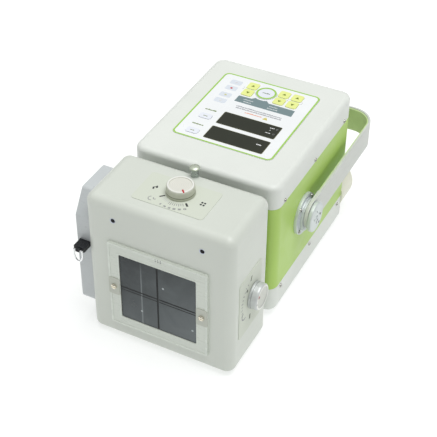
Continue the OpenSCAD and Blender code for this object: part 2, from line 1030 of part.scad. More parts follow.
// Knob with a shallow skirt, a bevelled rim and a dished top, standing on z = 0
module knob_body() {
    difference() {
        rotate_extrude()
            polygon([[shaft_r + fit, 0], [knob_r + 0.4, 0], [knob_r + 0.4, 2], [knob_r, 2.6],
                [knob_r - 0.4, knob_h - 1.6], [knob_r - 1.6, knob_h], [knob_r - 3.6, knob_h],
                [knob_r - 4.2, knob_h - 0.8], [0, knob_h - 0.8], [0, knob_h - 3],
                [shaft_r + fit, knob_h - 3]]);
        translate([-0.7, -knob_r + 0.4, knob_h - 1])
            cube([1.4, 4.6, 2]);
    }
}

module top_knob() {
    color([0.84, 0.85, 0.80]) on_beam()
        translate([top_knob_x, top_knob_y, coll_z1 + knob_base])
            rotate([0, 0, top_pointer])
                knob_body();
}

module side_knob() {
    color([0.80, 0.81, 0.79]) on_beam()
        translate([coll_side + knob_base, side_knob_y, side_knob_z])
            rotate([side_pointer, 0, 0])
                rotate([0, 90, 0])
                    knob_body();
}

teeth = 18;
module_mm = 1;
pitch_r = teeth * module_mm / 2;
pressure = 20;
addendum = 0.85 * module_mm;
dedendum = 1.1 * module_mm;
backlash = 2;      // degrees taken off each tooth
base_r = pitch_r * cos(pressure);
gear_t = 6;

// Point of the involute at radius r, as an angle from the tooth's flank root
function inv_angle(r) = sqrt(max(0, pow(r / base_r, 2) - 1)) * 180 / PI - acos(min(1, base_r / r));
function flank(s) = [for (i = [0 : 4])
    let (r = base_r + (pitch_r + addendum - base_r) * (s > 0 ? 4 - i : i) / 4,
         a = 90 / teeth - backlash / 2 + inv_angle(pitch_r) - inv_angle(r))
    [r * cos(s * a), r * sin(s * a)]];

// Spur pinion with involute flanks
module pinion() {
    linear_extrude(gear_t)
        union() {
            circle(pitch_r - dedendum);
            for (i = [0 : teeth - 1])
                rotate((i + 0.5) * 360 / teeth)
                    polygon(concat([[0, 0]], flank(-1), flank(1)));
        }
}

rack_teeth = 12;
pitch_len = PI * module_mm;
rack_l = 48;
rack_back = 6;
rack_slack = 0.1;

// Straight rack along X whose pitch line is y = 0, its teeth pointing to +Y; a gap sits at x = 0
module rack() {
    half_gap = pitch_len / 4;
    slope = tan(pressure);
    linear_extrude(gear_t)
        union() {
            translate([-rack_l / 2, -rack_back - dedendum])
                square([rack_l, rack_back]);
            for (i = [0 : rack_teeth - 1])
                translate([(i - (rack_teeth - 1) / 2) * pitch_len, 0])
                    polygon([
                        [-half_gap - dedendum * slope + rack_slack, -dedendum],
                        [-half_gap + addendum * slope + rack_slack, addendum],
                        [half_gap - addendum * slope - rack_slack, addendum],
                        [half_gap + dedendum * slope - rack_slack, -dedendum]]);
        }
}

top_gear_z = coll_z1 - 52;
side_gear_x = 70;
leaf_t = 2;
leaf_open = 26;    // from the beam axis to a leaf's edge at rest

// Shaft standing on its pinion, with a collar under the case wall
module shaft(l) {
    pinion();
    translate([0, 0, gear_t])
        cylinder(h = l - gear_t, r = shaft_r);
    translate([0, 0, l - knob_shaft_in - coll_wall - gap - 3])
        cylinder(h = 3, r = 6);
}

knob_shaft_in = knob_base + knob_h - 3;

module top_knob_shaft() {
    color([0.70, 0.71, 0.72]) on_beam()
        translate([top_knob_x, top_knob_y, top_gear_z])
            shaft(coll_z1 - top_gear_z + knob_shaft_in);
}

module side_knob_shaft() {
    color([0.70, 0.71, 0.72]) on_beam()
        translate([side_gear_x, side_knob_y, side_knob_z])
            rotate([0, 90, 0])
                shaft(coll_side - side_gear_x + knob_shaft_in);
}

left_plane = coll_front + 36;
wide_leaf_h = 104;
wide_leaf_w = 44;

// Left leaf: hangs from the rack in front of the upper pinion
module leaf_left() {
    color([0.58, 0.60, 0.62]) on_beam() {
        translate([top_knob_x, top_knob_y - pitch_r, top_gear_z])
            rack();
        translate([-leaf_open - wide_leaf_w, left_plane - leaf_t, beam_z - wide_leaf_h / 2])
            cube([wide_leaf_w, leaf_t, wide_leaf_h]);
        translate([-leaf_open - wide_leaf_w, left_plane - leaf_t, beam_z + wide_leaf_h / 2])
            cube([20, leaf_t, top_gear_z + gear_t - beam_z - wide_leaf_h / 2]);
        translate([-leaf_open - wide_leaf_w, left_plane - leaf_t, top_gear_z])
            cube([top_knob_x - rack_l / 2 + leaf_open + wide_leaf_w + 1,
                top_knob_y - pitch_r - dedendum - left_plane + leaf_t, gear_t]);
    }
}

bridge_t = 4;
right_plane = coll_front + 32;

// Right leaf: its rack runs behind the pinion and a bridge carries the leaf in front of it
module leaf_right() {
    color([0.58, 0.60, 0.62]) on_beam() {
        translate([top_knob_x, top_knob_y + pitch_r, top_gear_z])
            mirror([0, 1, 0])
                rack();
        translate([right_arm_x, top_knob_y + pitch_r + dedendum, top_gear_z])
            cube([right_arm_w, rack_back, gear_t + gap + bridge_t]);
        translate([right_arm_x, right_plane - leaf_t, top_gear_z + gear_t + gap])
            cube([right_arm_w, top_knob_y + pitch_r + dedendum + rack_back - right_plane + leaf_t, bridge_t]);
        translate([right_arm_x, right_plane - leaf_t, beam_z + wide_leaf_h / 2])
            cube([right_arm_w, leaf_t, top_gear_z + gear_t + gap - beam_z - wide_leaf_h / 2]);
        translate([leaf_open, right_plane - leaf_t, beam_z - wide_leaf_h / 2])
            cube([wide_leaf_w, leaf_t, wide_leaf_h]);
    }
}

right_arm_x = top_knob_x + rack_l / 2 - 1;
right_arm_w = 20;

upper_plane = coll_front + 51.5;
lower_plane = coll_front + 46;
tall_leaf_w = 76;
tall_leaf_h = 30;
upper_arm_z = side_knob_z + rack_l / 2 - 1.5;

// Upper leaf: its rack runs behind the side pinion and a bridge crosses above the pinion
module leaf_upper() {
    color([0.58, 0.60, 0.62]) on_beam() {
        translate([side_gear_x, side_knob_y + pitch_r, side_knob_z])
            rotate([0, 90, 0])
                mirror([0, 1, 0])
                    rack();
        translate([side_gear_x, upper_plane - leaf_t, upper_arm_z])
            cube([gear_t, side_knob_y + pitch_r + dedendum + rack_back - upper_plane + leaf_t, 10]);
        translate([-tall_leaf_w / 2, upper_plane - leaf_t, beam_z + leaf_open])
            cube([tall_leaf_w, leaf_t, tall_leaf_h]);
        translate([tall_leaf_w / 2, upper_plane - leaf_t, upper_arm_z])
            cube([side_gear_x + gear_t - tall_leaf_w / 2, leaf_t, 10]);
    }
}

// Lower leaf: its rack runs in front of the side pinion
module leaf_lower() {
    color([0.58, 0.60, 0.62]) on_beam() {
        translate([side_gear_x, side_knob_y - pitch_r, side_knob_z])
            rotate([0, 90, 0])
                rack();
        translate([-tall_leaf_w / 2, lower_plane - leaf_t, beam_z - leaf_open - tall_leaf_h])
            cube([tall_leaf_w, leaf_t, tall_leaf_h]);
        translate([tall_leaf_w / 2, lower_plane - leaf_t, beam_z - leaf_open - tall_leaf_h])
            cube([side_gear_x + gear_t - tall_leaf_w / 2, leaf_t, 12]);
        translate([side_gear_x, lower_plane - leaf_t, beam_z - leaf_open - tall_leaf_h])
            cube([gear_t, side_knob_y - pitch_r - dedendum - lower_plane + leaf_t,
                side_knob_z - rack_l / 2 - beam_z + leaf_open + tall_leaf_h + 1]);
    }
}

leaf_frame_y = coll_front + 24;

// Fixed mask plate in front of the leaves, on four posts from the case front
module leaf_frame() {
    color([0.45, 0.47, 0.48]) on_beam() {
        difference() {
            translate([0, leaf_frame_y, beam_z])
                wall_plate(150, 130, 2, 4);
            translate([0, leaf_frame_y - through, beam_z])
                wall_plate(88, 88, 2 + 2 * through, 3);
        }
        for (x = [-1, 1], z = [-1, 1])
            translate([x * 68, coll_front + coll_wall, beam_z + z * 58])
                rod_y(3, leaf_frame_y - coll_front - coll_wall);
    }
}

mirror_y = coll_rear - 25;
mirror_w = 58;
mirror_t = 2;
cheek_x = 31;

// Light mirror at 45 degrees to the beam, between two cheeks on the back plate
module light_mirror() {
    color([0.80, 0.84, 0.86]) on_beam() {
        translate([0, mirror_y, beam_z])
            rotate([45, 0, 0])
                translate([-cheek_x, -mirror_w / 2 + 4, -mirror_t / 2])
                    cube([2 * cheek_x, mirror_w - 8, mirror_t]);
        for (x = [-1, 1])
            translate([x * (cheek_x + 1) - 1, back_inner_y - 36, beam_z - 22])
                cube([2, 36, 44]);
    }
}

lamp_z = beam_z + focus_y - mirror_y;

// Field lamp in its socket, held by an arm from the back plate
module field_lamp() {
    color([0.90, 0.90, 0.86]) on_beam() {
        translate([-6, mirror_y, lamp_z - 8])
            cylinder(h = 14, r = 5);
        translate([-6, mirror_y, lamp_z - 8])
            sphere(r = 5);
        translate([-12, mirror_y - 6, lamp_z - 2])
            cube([12, back_inner_y - mirror_y + 6, 6]);
    }
}

plunger_out = 14.5;
plunger_in = 10;
plunger_head_r = 6.5;

// Chromed push plunger with a mushroom head
module lamp_plunger() {
    color([0.88, 0.89, 0.86]) on_beam()
        translate([plunger_x, plunger_y, coll_z1])
            rotate_extrude()
                polygon(concat(
                    [[0, -plunger_in], [plunger_r, -plunger_in], [plunger_r, plunger_out - 3.6],
                     [plunger_head_r - 0.5, plunger_out - 3.2], [plunger_head_r, plunger_out - 2.6]],
                    [for (a = [0 : 15 : 90])
                        [plunger_head_r * cos(a), plunger_out - 2.2 + 2.2 * sin(a)]]));
}

// ---------- distance tape ----------

tape_rear = coll_rear - 16;
tape_z0 = coll_z0 + 28;
tape_z1 = coll_z0 + 195;
tape_wall = 2;
tape_chamfer_y = 19;
tape_chamfer_z = 29;
tape_outer_x = coll_left + tape_box_w;
tape_mid_x = coll_left + 10.5;
blade_z = beam_z + 38.5;
blade_t = 0.5;
blade_w = 12;
pull_w = 15.2;
pull_h = 7;
reel_r = 24;
reel_y = tape_front + 43;
axle_r = 4;
tape_travel = 25;

// Side profile of the housing: a tall panel with its upper front corner cut back, rounded corners
function corner(y, z, r, a0, a1) = [for (i = [0 : 6])
    let (a = a0 + (a1 - a0) * i / 6) [y + r * cos(a), z + r * sin(a)]];

module tape_profile(inset) {
    r = 6 - inset;
    y0 = tape_front + inset + r;
    y1 = tape_rear - inset - r;
    z0 = tape_z0 + inset + r;
    z1 = tape_z1 - inset - r;
    lean = atan2(tape_chamfer_z, tape_chamfer_y);
    polygon(concat(
        corner(y1, z1, r, 0, 90),
        corner(y0 + tape_chamfer_y - 2, z1, r, 90, 90 + lean),
        corner(y0, z1 - tape_chamfer_z + 2, r, 90 + lean, 180),
        corner(y0, z0, r, 180, 270),
        corner(y1, z0, r, 270, 360)));
}

// Profile drawn in Y and Z, extruded along X from x = 0
module extrude_x(l) {
    rotate([90, 0, 90])
        linear_extrude(l)
            children();
}

module tape_housing() {
    color([0.74, 0.76, 0.77]) {
        difference() {
            translate([-tape_outer_x, 0, 0])
                union() {
                    translate([1, 0, 0])
                        extrude_x(tape_box_w - 1)
                            tape_profile(0);
                    extrude_x(2)
                        tape_profile(1);
                }
            translate([-tape_outer_x + tape_wall, 0, 0])
                extrude_x(tape_box_w)
                    tape_profile(tape_wall);
            translate([-tape_mid_x - pull_w / 2 - 0.5, tape_front - through, blade_z - 0.9])
                cube([pull_w + 1, tape_wall + 2 * through, 2.2]);
        }
        translate([-tape_outer_x + tape_wall, reel_y, blade_z - gap - reel_r])
            rod_x(axle_r, tape_box_w - tape_wall - gap);
    }
}

// Drum that the steel tape winds onto
module tape_reel() {
    color([0.80, 0.78, 0.45])
        translate([-tape_mid_x - blade_w / 2, reel_y, blade_z - gap - reel_r])
            difference() {
                rod_x(reel_r, blade_w);
                translate([-through, 0, 0])
                    rod_x(axle_r + fit, blade_w + 2 * through);
                for (a = [0 : 60 : 300])
                    rotate([a, 0, 0])
                        translate([-through, 0, 15])
                            rod_x(4, blade_w + 2 * through);
            }
}

// Straight end of the steel tape, from the pull back over the reel
module tape_blade() {
    color([0.86, 0.82, 0.40])
        translate([-tape_mid_x - blade_w / 2, tape_front - 6, blade_z])
            cube([blade_w, tape_rear - tape_wall - 1 - tape_front + 6, blade_t]);
}

lug_y = tape_front - pull_reach + lug_r;
lug_z = blade_z - 1.4;
lug_w = 5;
ring_wire_r = 1.1;
ring_path = [[6, 0], [6, -9], [4.6, -14], [1.8, -17], [-1.8, -17], [-4.6, -14], [-6, -9], [-6, 0]];

// Black grip block on the tape's end, with a lug for the ring
module tape_pull() {
    color([0.10, 0.11, 0.12])
        difference() {
            union() {
                translate([-tape_mid_x - pull_w / 2, lug_y + lug_r, blade_z - pull_h + 2])
                    cube([pull_w, tape_front - gap - lug_y - lug_r, pull_h]);
                translate([-tape_mid_x - lug_w / 2, lug_y, lug_z])
                    rod_x(lug_r, lug_w);
                translate([-tape_mid_x - lug_w / 2, lug_y, lug_z - lug_r])
                    cube([lug_w, lug_r + 1, 2 * lug_r]);
            }
            translate([-tape_mid_x - lug_w, lug_y, lug_z])
                rod_x(ring_wire_r + fit, 2 * lug_w);
            translate([-tape_mid_x - blade_w / 2 - 0.05, tape_front - 6 - 0.05, blade_z - 0.05])
                cube([blade_w + 0.1, 20, blade_t + 0.1]);
            for (i = [0 : 3])
                translate([-tape_mid_x - pull_w, lug_y + lug_r + 2.4 + 2.6 * i, blade_z + 2 - 0.4])
                    cube([2 * pull_w, 1, 1]);
        }
}

// Wire along straight runs in X and Z, closed, with round joints
module wire_loop(points, r) {
    for (i = [0 : len(points) - 1]) {
        p = points[i];
        q = points[(i + 1) % len(points)];
        translate([p[0], 0, p[1]]) {
            sphere(r = r * 1.06);
            rotate([0, atan2(q[0] - p[0], q[1] - p[1]), 0])
                cylinder(h = norm(q - p), r = r);
        }
    }
}

// Chromed wire ring that hangs from the lug
module tape_ring() {
    color([0.86, 0.87, 0.88])
        translate([-tape_mid_x, lug_y, lug_z])
            wire_loop(ring_path, ring_wire_r);
}

// ---------- drawing ----------

top_cover();
middle_shell();
bottom_cover();
feet();
rear_bumpers();
chassis_plate();
panel_face();
display_windows();
indicator_lamps();
display_board();
key_1();
key_2();
key_3();
key_4();
key_5();
key_6();
ring_key();
mode_key();
memory_key();
rear_panel();
power_inlet();
power_switch();
hand_switch_socket();
tube_tank();
tube_envelope();
tube_electrodes();
inverter_board();
control_board();
capacitor_bank();
port_neck();
hub_flanges();
hub_caps();
handle_strap();
handle_liner();
collimator_case();
collimator_back();
front_frame();
window_pane();
frame_clips();
laser_modules();
scale_plates();
small_screws();
top_knob();
top_knob_shaft();
side_knob();
side_knob_shaft();
leaf_left();
leaf_right();
leaf_upper();
leaf_lower();
leaf_frame();
light_mirror();
field_lamp();
lamp_plunger();
tape_housing();
tape_reel();
tape_blade();
tape_pull();
tape_ring();
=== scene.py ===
"""Looks of the portable X-ray unit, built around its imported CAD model. Metres, in the CAD's frame."""

import math
import random

import bpy
from mathutils import Matrix, Vector


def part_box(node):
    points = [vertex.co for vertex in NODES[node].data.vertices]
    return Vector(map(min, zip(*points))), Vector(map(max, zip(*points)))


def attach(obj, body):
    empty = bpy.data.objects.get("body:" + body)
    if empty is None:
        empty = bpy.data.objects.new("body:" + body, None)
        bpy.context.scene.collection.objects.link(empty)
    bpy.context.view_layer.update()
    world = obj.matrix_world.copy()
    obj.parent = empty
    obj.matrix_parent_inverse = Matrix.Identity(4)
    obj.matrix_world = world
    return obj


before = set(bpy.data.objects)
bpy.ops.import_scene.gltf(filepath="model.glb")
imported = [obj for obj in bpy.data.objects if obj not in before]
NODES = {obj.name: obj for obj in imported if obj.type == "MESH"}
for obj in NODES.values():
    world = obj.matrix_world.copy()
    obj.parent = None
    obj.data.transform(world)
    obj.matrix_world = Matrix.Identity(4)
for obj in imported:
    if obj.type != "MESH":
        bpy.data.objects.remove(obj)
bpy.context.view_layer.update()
MM = 0.001


def middle(node):
    """Centre of a CAD node's box."""
    return sum(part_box(node), Vector()) / 2


# ---------------------------------------------------------------- materials


class Shader:
    """One Principled material with helpers for procedural detail in object space, in metres."""

    def __init__(self, name, rough=0.4, metal=0.0, coat=0.0, coat_rough=0.1, alpha=1.0):
        self.mat = bpy.data.materials.new(name)
        self.mat.use_nodes = True
        self.nt = self.mat.node_tree
        self.nt.nodes.clear()
        self.out = self.node("ShaderNodeOutputMaterial")
        self.bsdf = self.node("ShaderNodeBsdfPrincipled")
        self.link(self.bsdf.outputs["BSDF"], self.out.inputs["Surface"])
        self.put("Roughness", rough)
        self.put("Metallic", metal)
        self.put("IOR", 1.5)
        self.put("Coat Weight", coat)
        self.put("Coat Roughness", coat_rough)
        self.put("Alpha", alpha)
        self.coords = self.node("ShaderNodeTexCoord").outputs["Object"]
        self.height = None

    def node(self, kind):
        return self.nt.nodes.new(kind)

    def link(self, a, b):
        self.nt.links.new(a, b)

    def put(self, socket, value):
        self.bsdf.inputs[socket].default_value = value

    def mapped(self, scale=(1, 1, 1), shift=(0, 0, 0), turn=(0, 0, 0)):
        m = self.node("ShaderNodeMapping")
        m.inputs["Scale"].default_value = scale
        m.inputs["Location"].default_value = shift
        m.inputs["Rotation"].default_value = turn
        self.link(self.coords, m.inputs["Vector"])
        return m.outputs["Vector"]

    def noise(self, scale, detail=4.0, rough=0.55, vector=None, distortion=0.0):
        n = self.node("ShaderNodeTexNoise")
        n.inputs["Scale"].default_value = scale
        n.inputs["Detail"].default_value = detail
        n.inputs["Roughness"].default_value = rough
        n.inputs["Distortion"].default_value = distortion
        self.link(vector or self.coords, n.inputs["Vector"])
        return n.outputs["Fac"]

    def cells(self, scale):
        n = self.node("ShaderNodeTexVoronoi")
        n.inputs["Scale"].default_value = scale
        self.link(self.coords, n.inputs["Vector"])
        return n.outputs["Distance"]

    def ramp(self, value, low, high, a=0.0, b=1.0):
        r = self.node("ShaderNodeMapRange")
        r.inputs["From Min"].default_value = low
        r.inputs["From Max"].default_value = high
        r.inputs["To Min"].default_value = a
        r.inputs["To Max"].default_value = b
        self.link(value, r.inputs["Value"])
        return r.outputs["Result"]

    def maths(self, operation, a, b=0.0):
        m = self.node("ShaderNodeMath")
        m.operation = operation
        for socket, value in zip(m.inputs, (a, b)):
            if isinstance(value, (int, float)):
                socket.default_value = value
            else:
                self.link(value, socket)
        return m.outputs["Value"]

    def mix(self, factor, a, b):
        m = self.node("ShaderNodeMix")
        m.data_type = "RGBA"
        self.link(factor, m.inputs["Factor"])
        for socket, value in ((m.inputs[6], a), (m.inputs[7], b)):
            if isinstance(value, tuple):
                socket.default_value = (*value[:3], 1.0)
            else:
                self.link(value, socket)
        return m.outputs[2]

    def colour(self, value):
        if isinstance(value, tuple):
            self.put("Base Color", (*value[:3], 1.0))
        else:
            self.link(value, self.bsdf.inputs["Base Color"])

    def roughness(self, value):
        self.link(value, self.bsdf.inputs["Roughness"])

    def axis(self, vector, letter):
        """One part of a vector, x, y or z."""
        split = self.node("ShaderNodeSeparateXYZ")
        self.link(vector, split.inputs["Vector"])
        return split.outputs[letter.upper()]

    def place(self, letter):
        return self.axis(self.coords, letter)

    def normal(self, letter):
        return self.axis(self.node("ShaderNodeNewGeometry").outputs["Normal"], letter)

    def dulled(self, tone, value, amount):
        """A tone that turns duller where amount says so."""
        dull = self.node("ShaderNodeHueSaturation")
        dull.inputs["Value"].default_value = value
        self.link(tone, dull.inputs["Color"])
        return self.mix(amount, tone, dull.outputs["Color"])

    def bump(self, value, depth, strength=1.0):
        """Adds a height layer; depth is the relief in metres."""
        b = self.node("ShaderNodeBump")
        b.inputs["Strength"].default_value = strength
        b.inputs["Distance"].default_value = depth
        self.link(value, b.inputs["Height"])
        if self.height is not None:
            self.link(self.height, b.inputs["Normal"])
        self.height = b.outputs["Normal"]
        self.link(self.height, self.bsdf.inputs["Normal"])


def srgb(r, g, b):
    """8-bit sRGB to scene-linear."""
    return tuple((c / 255 / 12.92) if c <= 10 else ((c / 255 + 0.055) / 1.055) ** 2.4 for c in (r, g, b))


def shade(c, k):
    return tuple(min(1.0, v * k) for v in c)


def plastic(name, colour, rough=0.42, grain=1100.0, relief=0.00003, mottle=0.035, dust=0.05, coat=0.0):
    """Moulded plastic: spark-eroded grain, faint flow mottling, a little dust on what faces up."""
    s = Shader(name, rough, coat=coat, coat_rough=0.25)
    cloud = s.ramp(s.noise(9.0, 3.0), 0.35, 0.65)
    base = s.mix(cloud, shade(colour, 1 - mottle), shade(colour, 1 + mottle * 0.4))
    speck = s.ramp(s.noise(650.0, 2.0), 0.58, 0.78, 0.0, 0.5)
    base = s.mix(speck, base, shade(colour, 0.90))
    up = s.ramp(s.normal("z"), 0.55, 1.0, 0.0, dust)
    film = s.maths("MULTIPLY", up, s.ramp(s.noise(38.0, 6.0, 0.65), 0.40, 0.72))
    s.colour(s.mix(film, base, srgb(214, 212, 204)))
    smear = s.noise(22.0, 5.0, 0.6, distortion=0.6)
    s.roughness(s.ramp(smear, 0.3, 0.7, rough - 0.07, rough + 0.08))
    s.bump(s.cells(grain), relief, 0.55)
    s.bump(s.noise(grain * 0.45, 3.0), relief, 0.35)
    return s.mat


def paint(name, colour, rough=0.34, peel=420.0, relief=0.00003, coat=0.12):
    """Sprayed satin paint: orange peel, faint clouding, fine scuffs that change only the gloss."""
    s = Shader(name, rough, coat=coat, coat_rough=0.3)
    cloud = s.ramp(s.noise(7.0, 2.0), 0.35, 0.65)
    base = s.mix(cloud, shade(colour, 0.970), shade(colour, 1.012))
    fleck = s.ramp(s.noise(900.0, 2.0), 0.60, 0.80, 0.0, 0.35)
    s.colour(s.mix(fleck, base, shade(colour, 0.90)))
    scuff = s.noise(60.0, 6.0, 0.7, s.mapped((1.0, 1.0, 5.0), turn=(0.3, 0.5, 0.2)), 0.8)
    s.roughness(s.ramp(scuff, 0.35, 0.7, rough - 0.06, rough + 0.10))
    s.bump(s.noise(peel, 2.0, 0.4), relief, 0.5)
    s.bump(s.noise(peel * 4, 2.0), relief * 0.4, 0.3)
    return s.mat


def brushed(name, colour, along="y", rough=0.30, lines=1500.0, relief=0.00001, metal=1.0):
    """Metal with a straight brushed grain along one axis."""
    s = Shader(name, rough, metal)
    scale = {"x": (0.02, 1, 1), "y": (1, 0.02, 1), "z": (1, 1, 0.02)}[along]
    grain = s.noise(lines, 3.0, 0.6, s.mapped(scale))
    stain = s.ramp(s.noise(30.0, 4.0), 0.35, 0.7)
    s.colour(s.mix(s.ramp(grain, 0.3, 0.7), shade(colour, 0.86), s.mix(stain, shade(colour, 0.97), colour)))
    s.roughness(s.ramp(grain, 0.3, 0.7, rough - 0.08, rough + 0.12))
    s.bump(grain, relief, 0.6)
    return s.mat


def turned(name, colour, centre, axis="x", rough=0.26, pitch=2600.0, metal=1.0):
    """Metal with the fine concentric marks of a lathe about an axis through centre."""
    s = Shader(name, rough, metal)
    shift = tuple(0.0 if i == "xyz".index(axis) else -c for i, c in enumerate(centre))
    local = s.mapped(shift=shift)
    w = s.node("ShaderNodeTexWave")
    w.wave_type = "RINGS"
    w.rings_direction = axis.upper()
    w.inputs["Scale"].default_value = pitch / 6.0
    w.inputs["Distortion"].default_value = 0.4
    s.link(local, w.inputs["Vector"])
    rings = w.outputs["Fac"]
    tone = s.ramp(s.noise(45.0, 4.0), 0.35, 0.68)
    s.colour(s.mix(tone, shade(colour, 0.88), colour))
    s.roughness(s.ramp(s.noise(160.0, 4.0), 0.3, 0.7, rough - 0.06, rough + 0.10))
    s.bump(rings, 0.000006, 0.5)
    s.bump(s.noise(900.0, 2.0), 0.000006, 0.4)
    return s.mat


def rubber(name, colour, rough=0.72, grain=1500.0):
    """Matt rubber, paler where it is handled."""
    s = Shader(name, rough)
    wear = s.ramp(s.noise(55.0, 6.0, 0.7), 0.45, 0.75, 0.0, 0.6)
    s.colour(s.mix(wear, colour, shade(colour, 1.22)))
    s.roughness(s.ramp(s.noise(35.0, 4.0), 0.3, 0.7, rough - 0.08, rough + 0.1))
    s.bump(s.cells(grain), 0.00004, 0.6)
    return s.mat


def printed(name, colour, rough=0.45):
    """Screen-printed ink: slightly raised, with a fine mesh in it."""
    s = Shader(name, rough)
    mesh = s.cells(2600.0)
    s.colour(s.mix(s.ramp(mesh, 0.1, 0.8), shade(colour, 0.93), colour))
    s.roughness(s.ramp(s.noise(300.0, 3.0), 0.3, 0.7, rough - 0.05, rough + 0.05))
    s.bump(mesh, 0.000008, 0.4)
    return s.mat


def chrome(name, colour=(0.86, 0.87, 0.88), rough=0.07):
    """Bright plating with a faint haze."""
    s = Shader(name, rough, 1.0)
    haze = s.ramp(s.noise(80.0, 5.0, 0.6), 0.4, 0.75)
    s.colour(s.mix(haze, colour, shade(colour, 0.90)))
    s.roughness(s.ramp(s.noise(240.0, 4.0), 0.35, 0.75, rough, rough + 0.10))
    s.bump(s.noise(700.0, 2.0), 0.000004, 0.4)
    return s.mat


def smoked(name, colour, rough=0.10, alpha=1.0, coat=0.6):
    """Smoked window: glossy, with faint wiping haze."""
    s = Shader(name, rough, coat=coat, coat_rough=0.05, alpha=alpha)
    haze = s.ramp(s.noise(28.0, 6.0, 0.7, distortion=1.2), 0.45, 0.8)
    s.colour(s.mix(haze, colour, shade(colour, 1.35)))
    s.roughness(s.ramp(s.noise(50.0, 5.0, 0.65), 0.3, 0.75, rough, rough + 0.16))
    s.bump(s.noise(35.0, 2.0), 0.00002, 0.2)
    return s.mat


def radius_from(s, centre, axis):
    """Distance in metres from an axis through centre."""
    k = "xyz".index(axis)
    keep = tuple(0.0 if i == k else 1.0 for i in range(3))
    away = tuple(0.0 if i == k else -c for i, c in enumerate(centre))
    length = s.node("ShaderNodeVectorMath")
    length.operation = "LENGTH"
    s.link(s.mapped(keep, away), length.inputs[0])
    return length.outputs["Value"]


KNOB_RING_PITCH = 3100.0  # radians per metre of radius
# The next value is the width of the painted highlight round the rim of a knob's face.
KNOB_RIM_HIGHLIGHT = 0.0040
KNOB_SKIRT = 0.0033


def field_knob(name, centre, low, axis, outer, tones, metal):
    """Turned knob: a ringed face with a painted highlight round its rim, a flank parted from its skirt by a
    thin dark line of painted shade.
    """
    face, flank, skirt, groove = (srgb(*tone) for tone in tones)
    rough = 0.34
    s = Shader(name, rough, metal)
    radius = radius_from(s, centre, axis)
    rings = s.maths("SINE", s.maths("MULTIPLY", radius, KNOB_RING_PITCH))
    face_tone = s.mix(s.ramp(rings, -1.0, 1.0), shade(face, 0.93), face)
    # Painted highlight: the outer band of the face turns near white.
    rim = s.ramp(radius, outer - KNOB_RIM_HIGHLIGHT, outer - KNOB_RIM_HIGHLIGHT + 0.0006)
    face_tone = s.mix(rim, face_tone, srgb(238, 239, 233))
    height = s.maths("SUBTRACT", s.place(axis), low)
    side_tone = s.mix(s.ramp(height, KNOB_SKIRT - 0.0003, KNOB_SKIRT + 0.0003), skirt, flank)
    # Painted shade: a thin dark line round the flank where flank and skirt meet.
    off_groove = s.maths("ABSOLUTE", s.maths("SUBTRACT", height, KNOB_SKIRT))
    side_tone = s.mix(s.ramp(off_groove, 0.0003, 0.0007, 1.0, 0.0), side_tone, groove)
    front = s.ramp(s.normal(axis), 0.55, 0.8)
    wear = s.ramp(s.noise(70.0, 5.0, 0.6), 0.4, 0.75, 0.0, 0.6)
    s.colour(s.dulled(s.mix(front, side_tone, face_tone), 0.94, wear))
    s.roughness(s.ramp(s.noise(220.0, 4.0), 0.3, 0.7, rough - 0.05, rough + 0.10))
    s.bump(rings, 0.00003, 0.5)
    s.bump(s.noise(1100.0, 2.0), 0.000006, 0.4)
    return s.mat


def two_tone_metal(name, place, axis, upper, lower, rough, metal):
    """Metal in two tones that meet at one place along an axis, with a handled haze."""
    s = Shader(name, rough, metal)
    tone = s.mix(s.ramp(s.place(axis), place - 0.0002, place + 0.0002), lower, upper)
    haze = s.ramp(s.noise(90.0, 5.0, 0.6), 0.4, 0.75, 0.0, 0.5)
    s.colour(s.dulled(tone, 0.88, haze))
    s.roughness(s.ramp(s.noise(240.0, 4.0), 0.35, 0.75, rough, rough + 0.12))
    s.bump(s.noise(800.0, 2.0), 0.000005, 0.4)
    return s.mat


def window_film(name, low, high):
    """Smoked pane: darker towards its upper left, with one soft upright streak of reflected light."""
    s = Shader(name, 0.16, alpha=0.93)
    s.put("Specular IOR Level", 0.3)
    across = s.ramp(s.place("x"), low.x, high.x)
    down = s.ramp(s.place("z"), high.z, low.z)
    slope = s.maths("MULTIPLY", s.maths("ADD", across, s.maths("MULTIPLY", down, 1.3)), 0.44)
    cloud = s.maths("MULTIPLY", s.ramp(s.noise(26.0, 4.0, 0.6, distortion=0.8), 0.3, 0.7, -1.0, 1.0), 0.10)
    base = s.mix(s.maths("ADD", slope, cloud), srgb(40, 46, 48), srgb(112, 119, 121))
    near = s.maths("ABSOLUTE", s.maths("SUBTRACT", across, 0.295))
    streak = s.maths("MULTIPLY", s.ramp(near, 0.0, 0.013, 0.40, 0.0), s.ramp(down, 0.04, 0.30))
    s.colour(s.mix(streak, base, srgb(178, 186, 188)))
    s.roughness(s.ramp(s.noise(50.0, 5.0, 0.65), 0.3, 0.75, 0.14, 0.30))
    s.bump(s.noise(35.0, 2.0), 0.00002, 0.2)
    return s.mat


GREY_WHITE = srgb(226, 230, 224)
COLLIMATOR = srgb(212, 217, 208)
GREEN = srgb(176, 211, 100)
GREEN_PRINT = srgb(160, 205, 88)
CREAM = srgb(236, 236, 219)

hub_centre = middle("hub_caps")
top_knob_lo, top_knob_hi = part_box("top_knob")
top_axis = middle("top_knob")
side_knob_lo, side_knob_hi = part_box("side_knob")
side_axis = middle("side_knob")

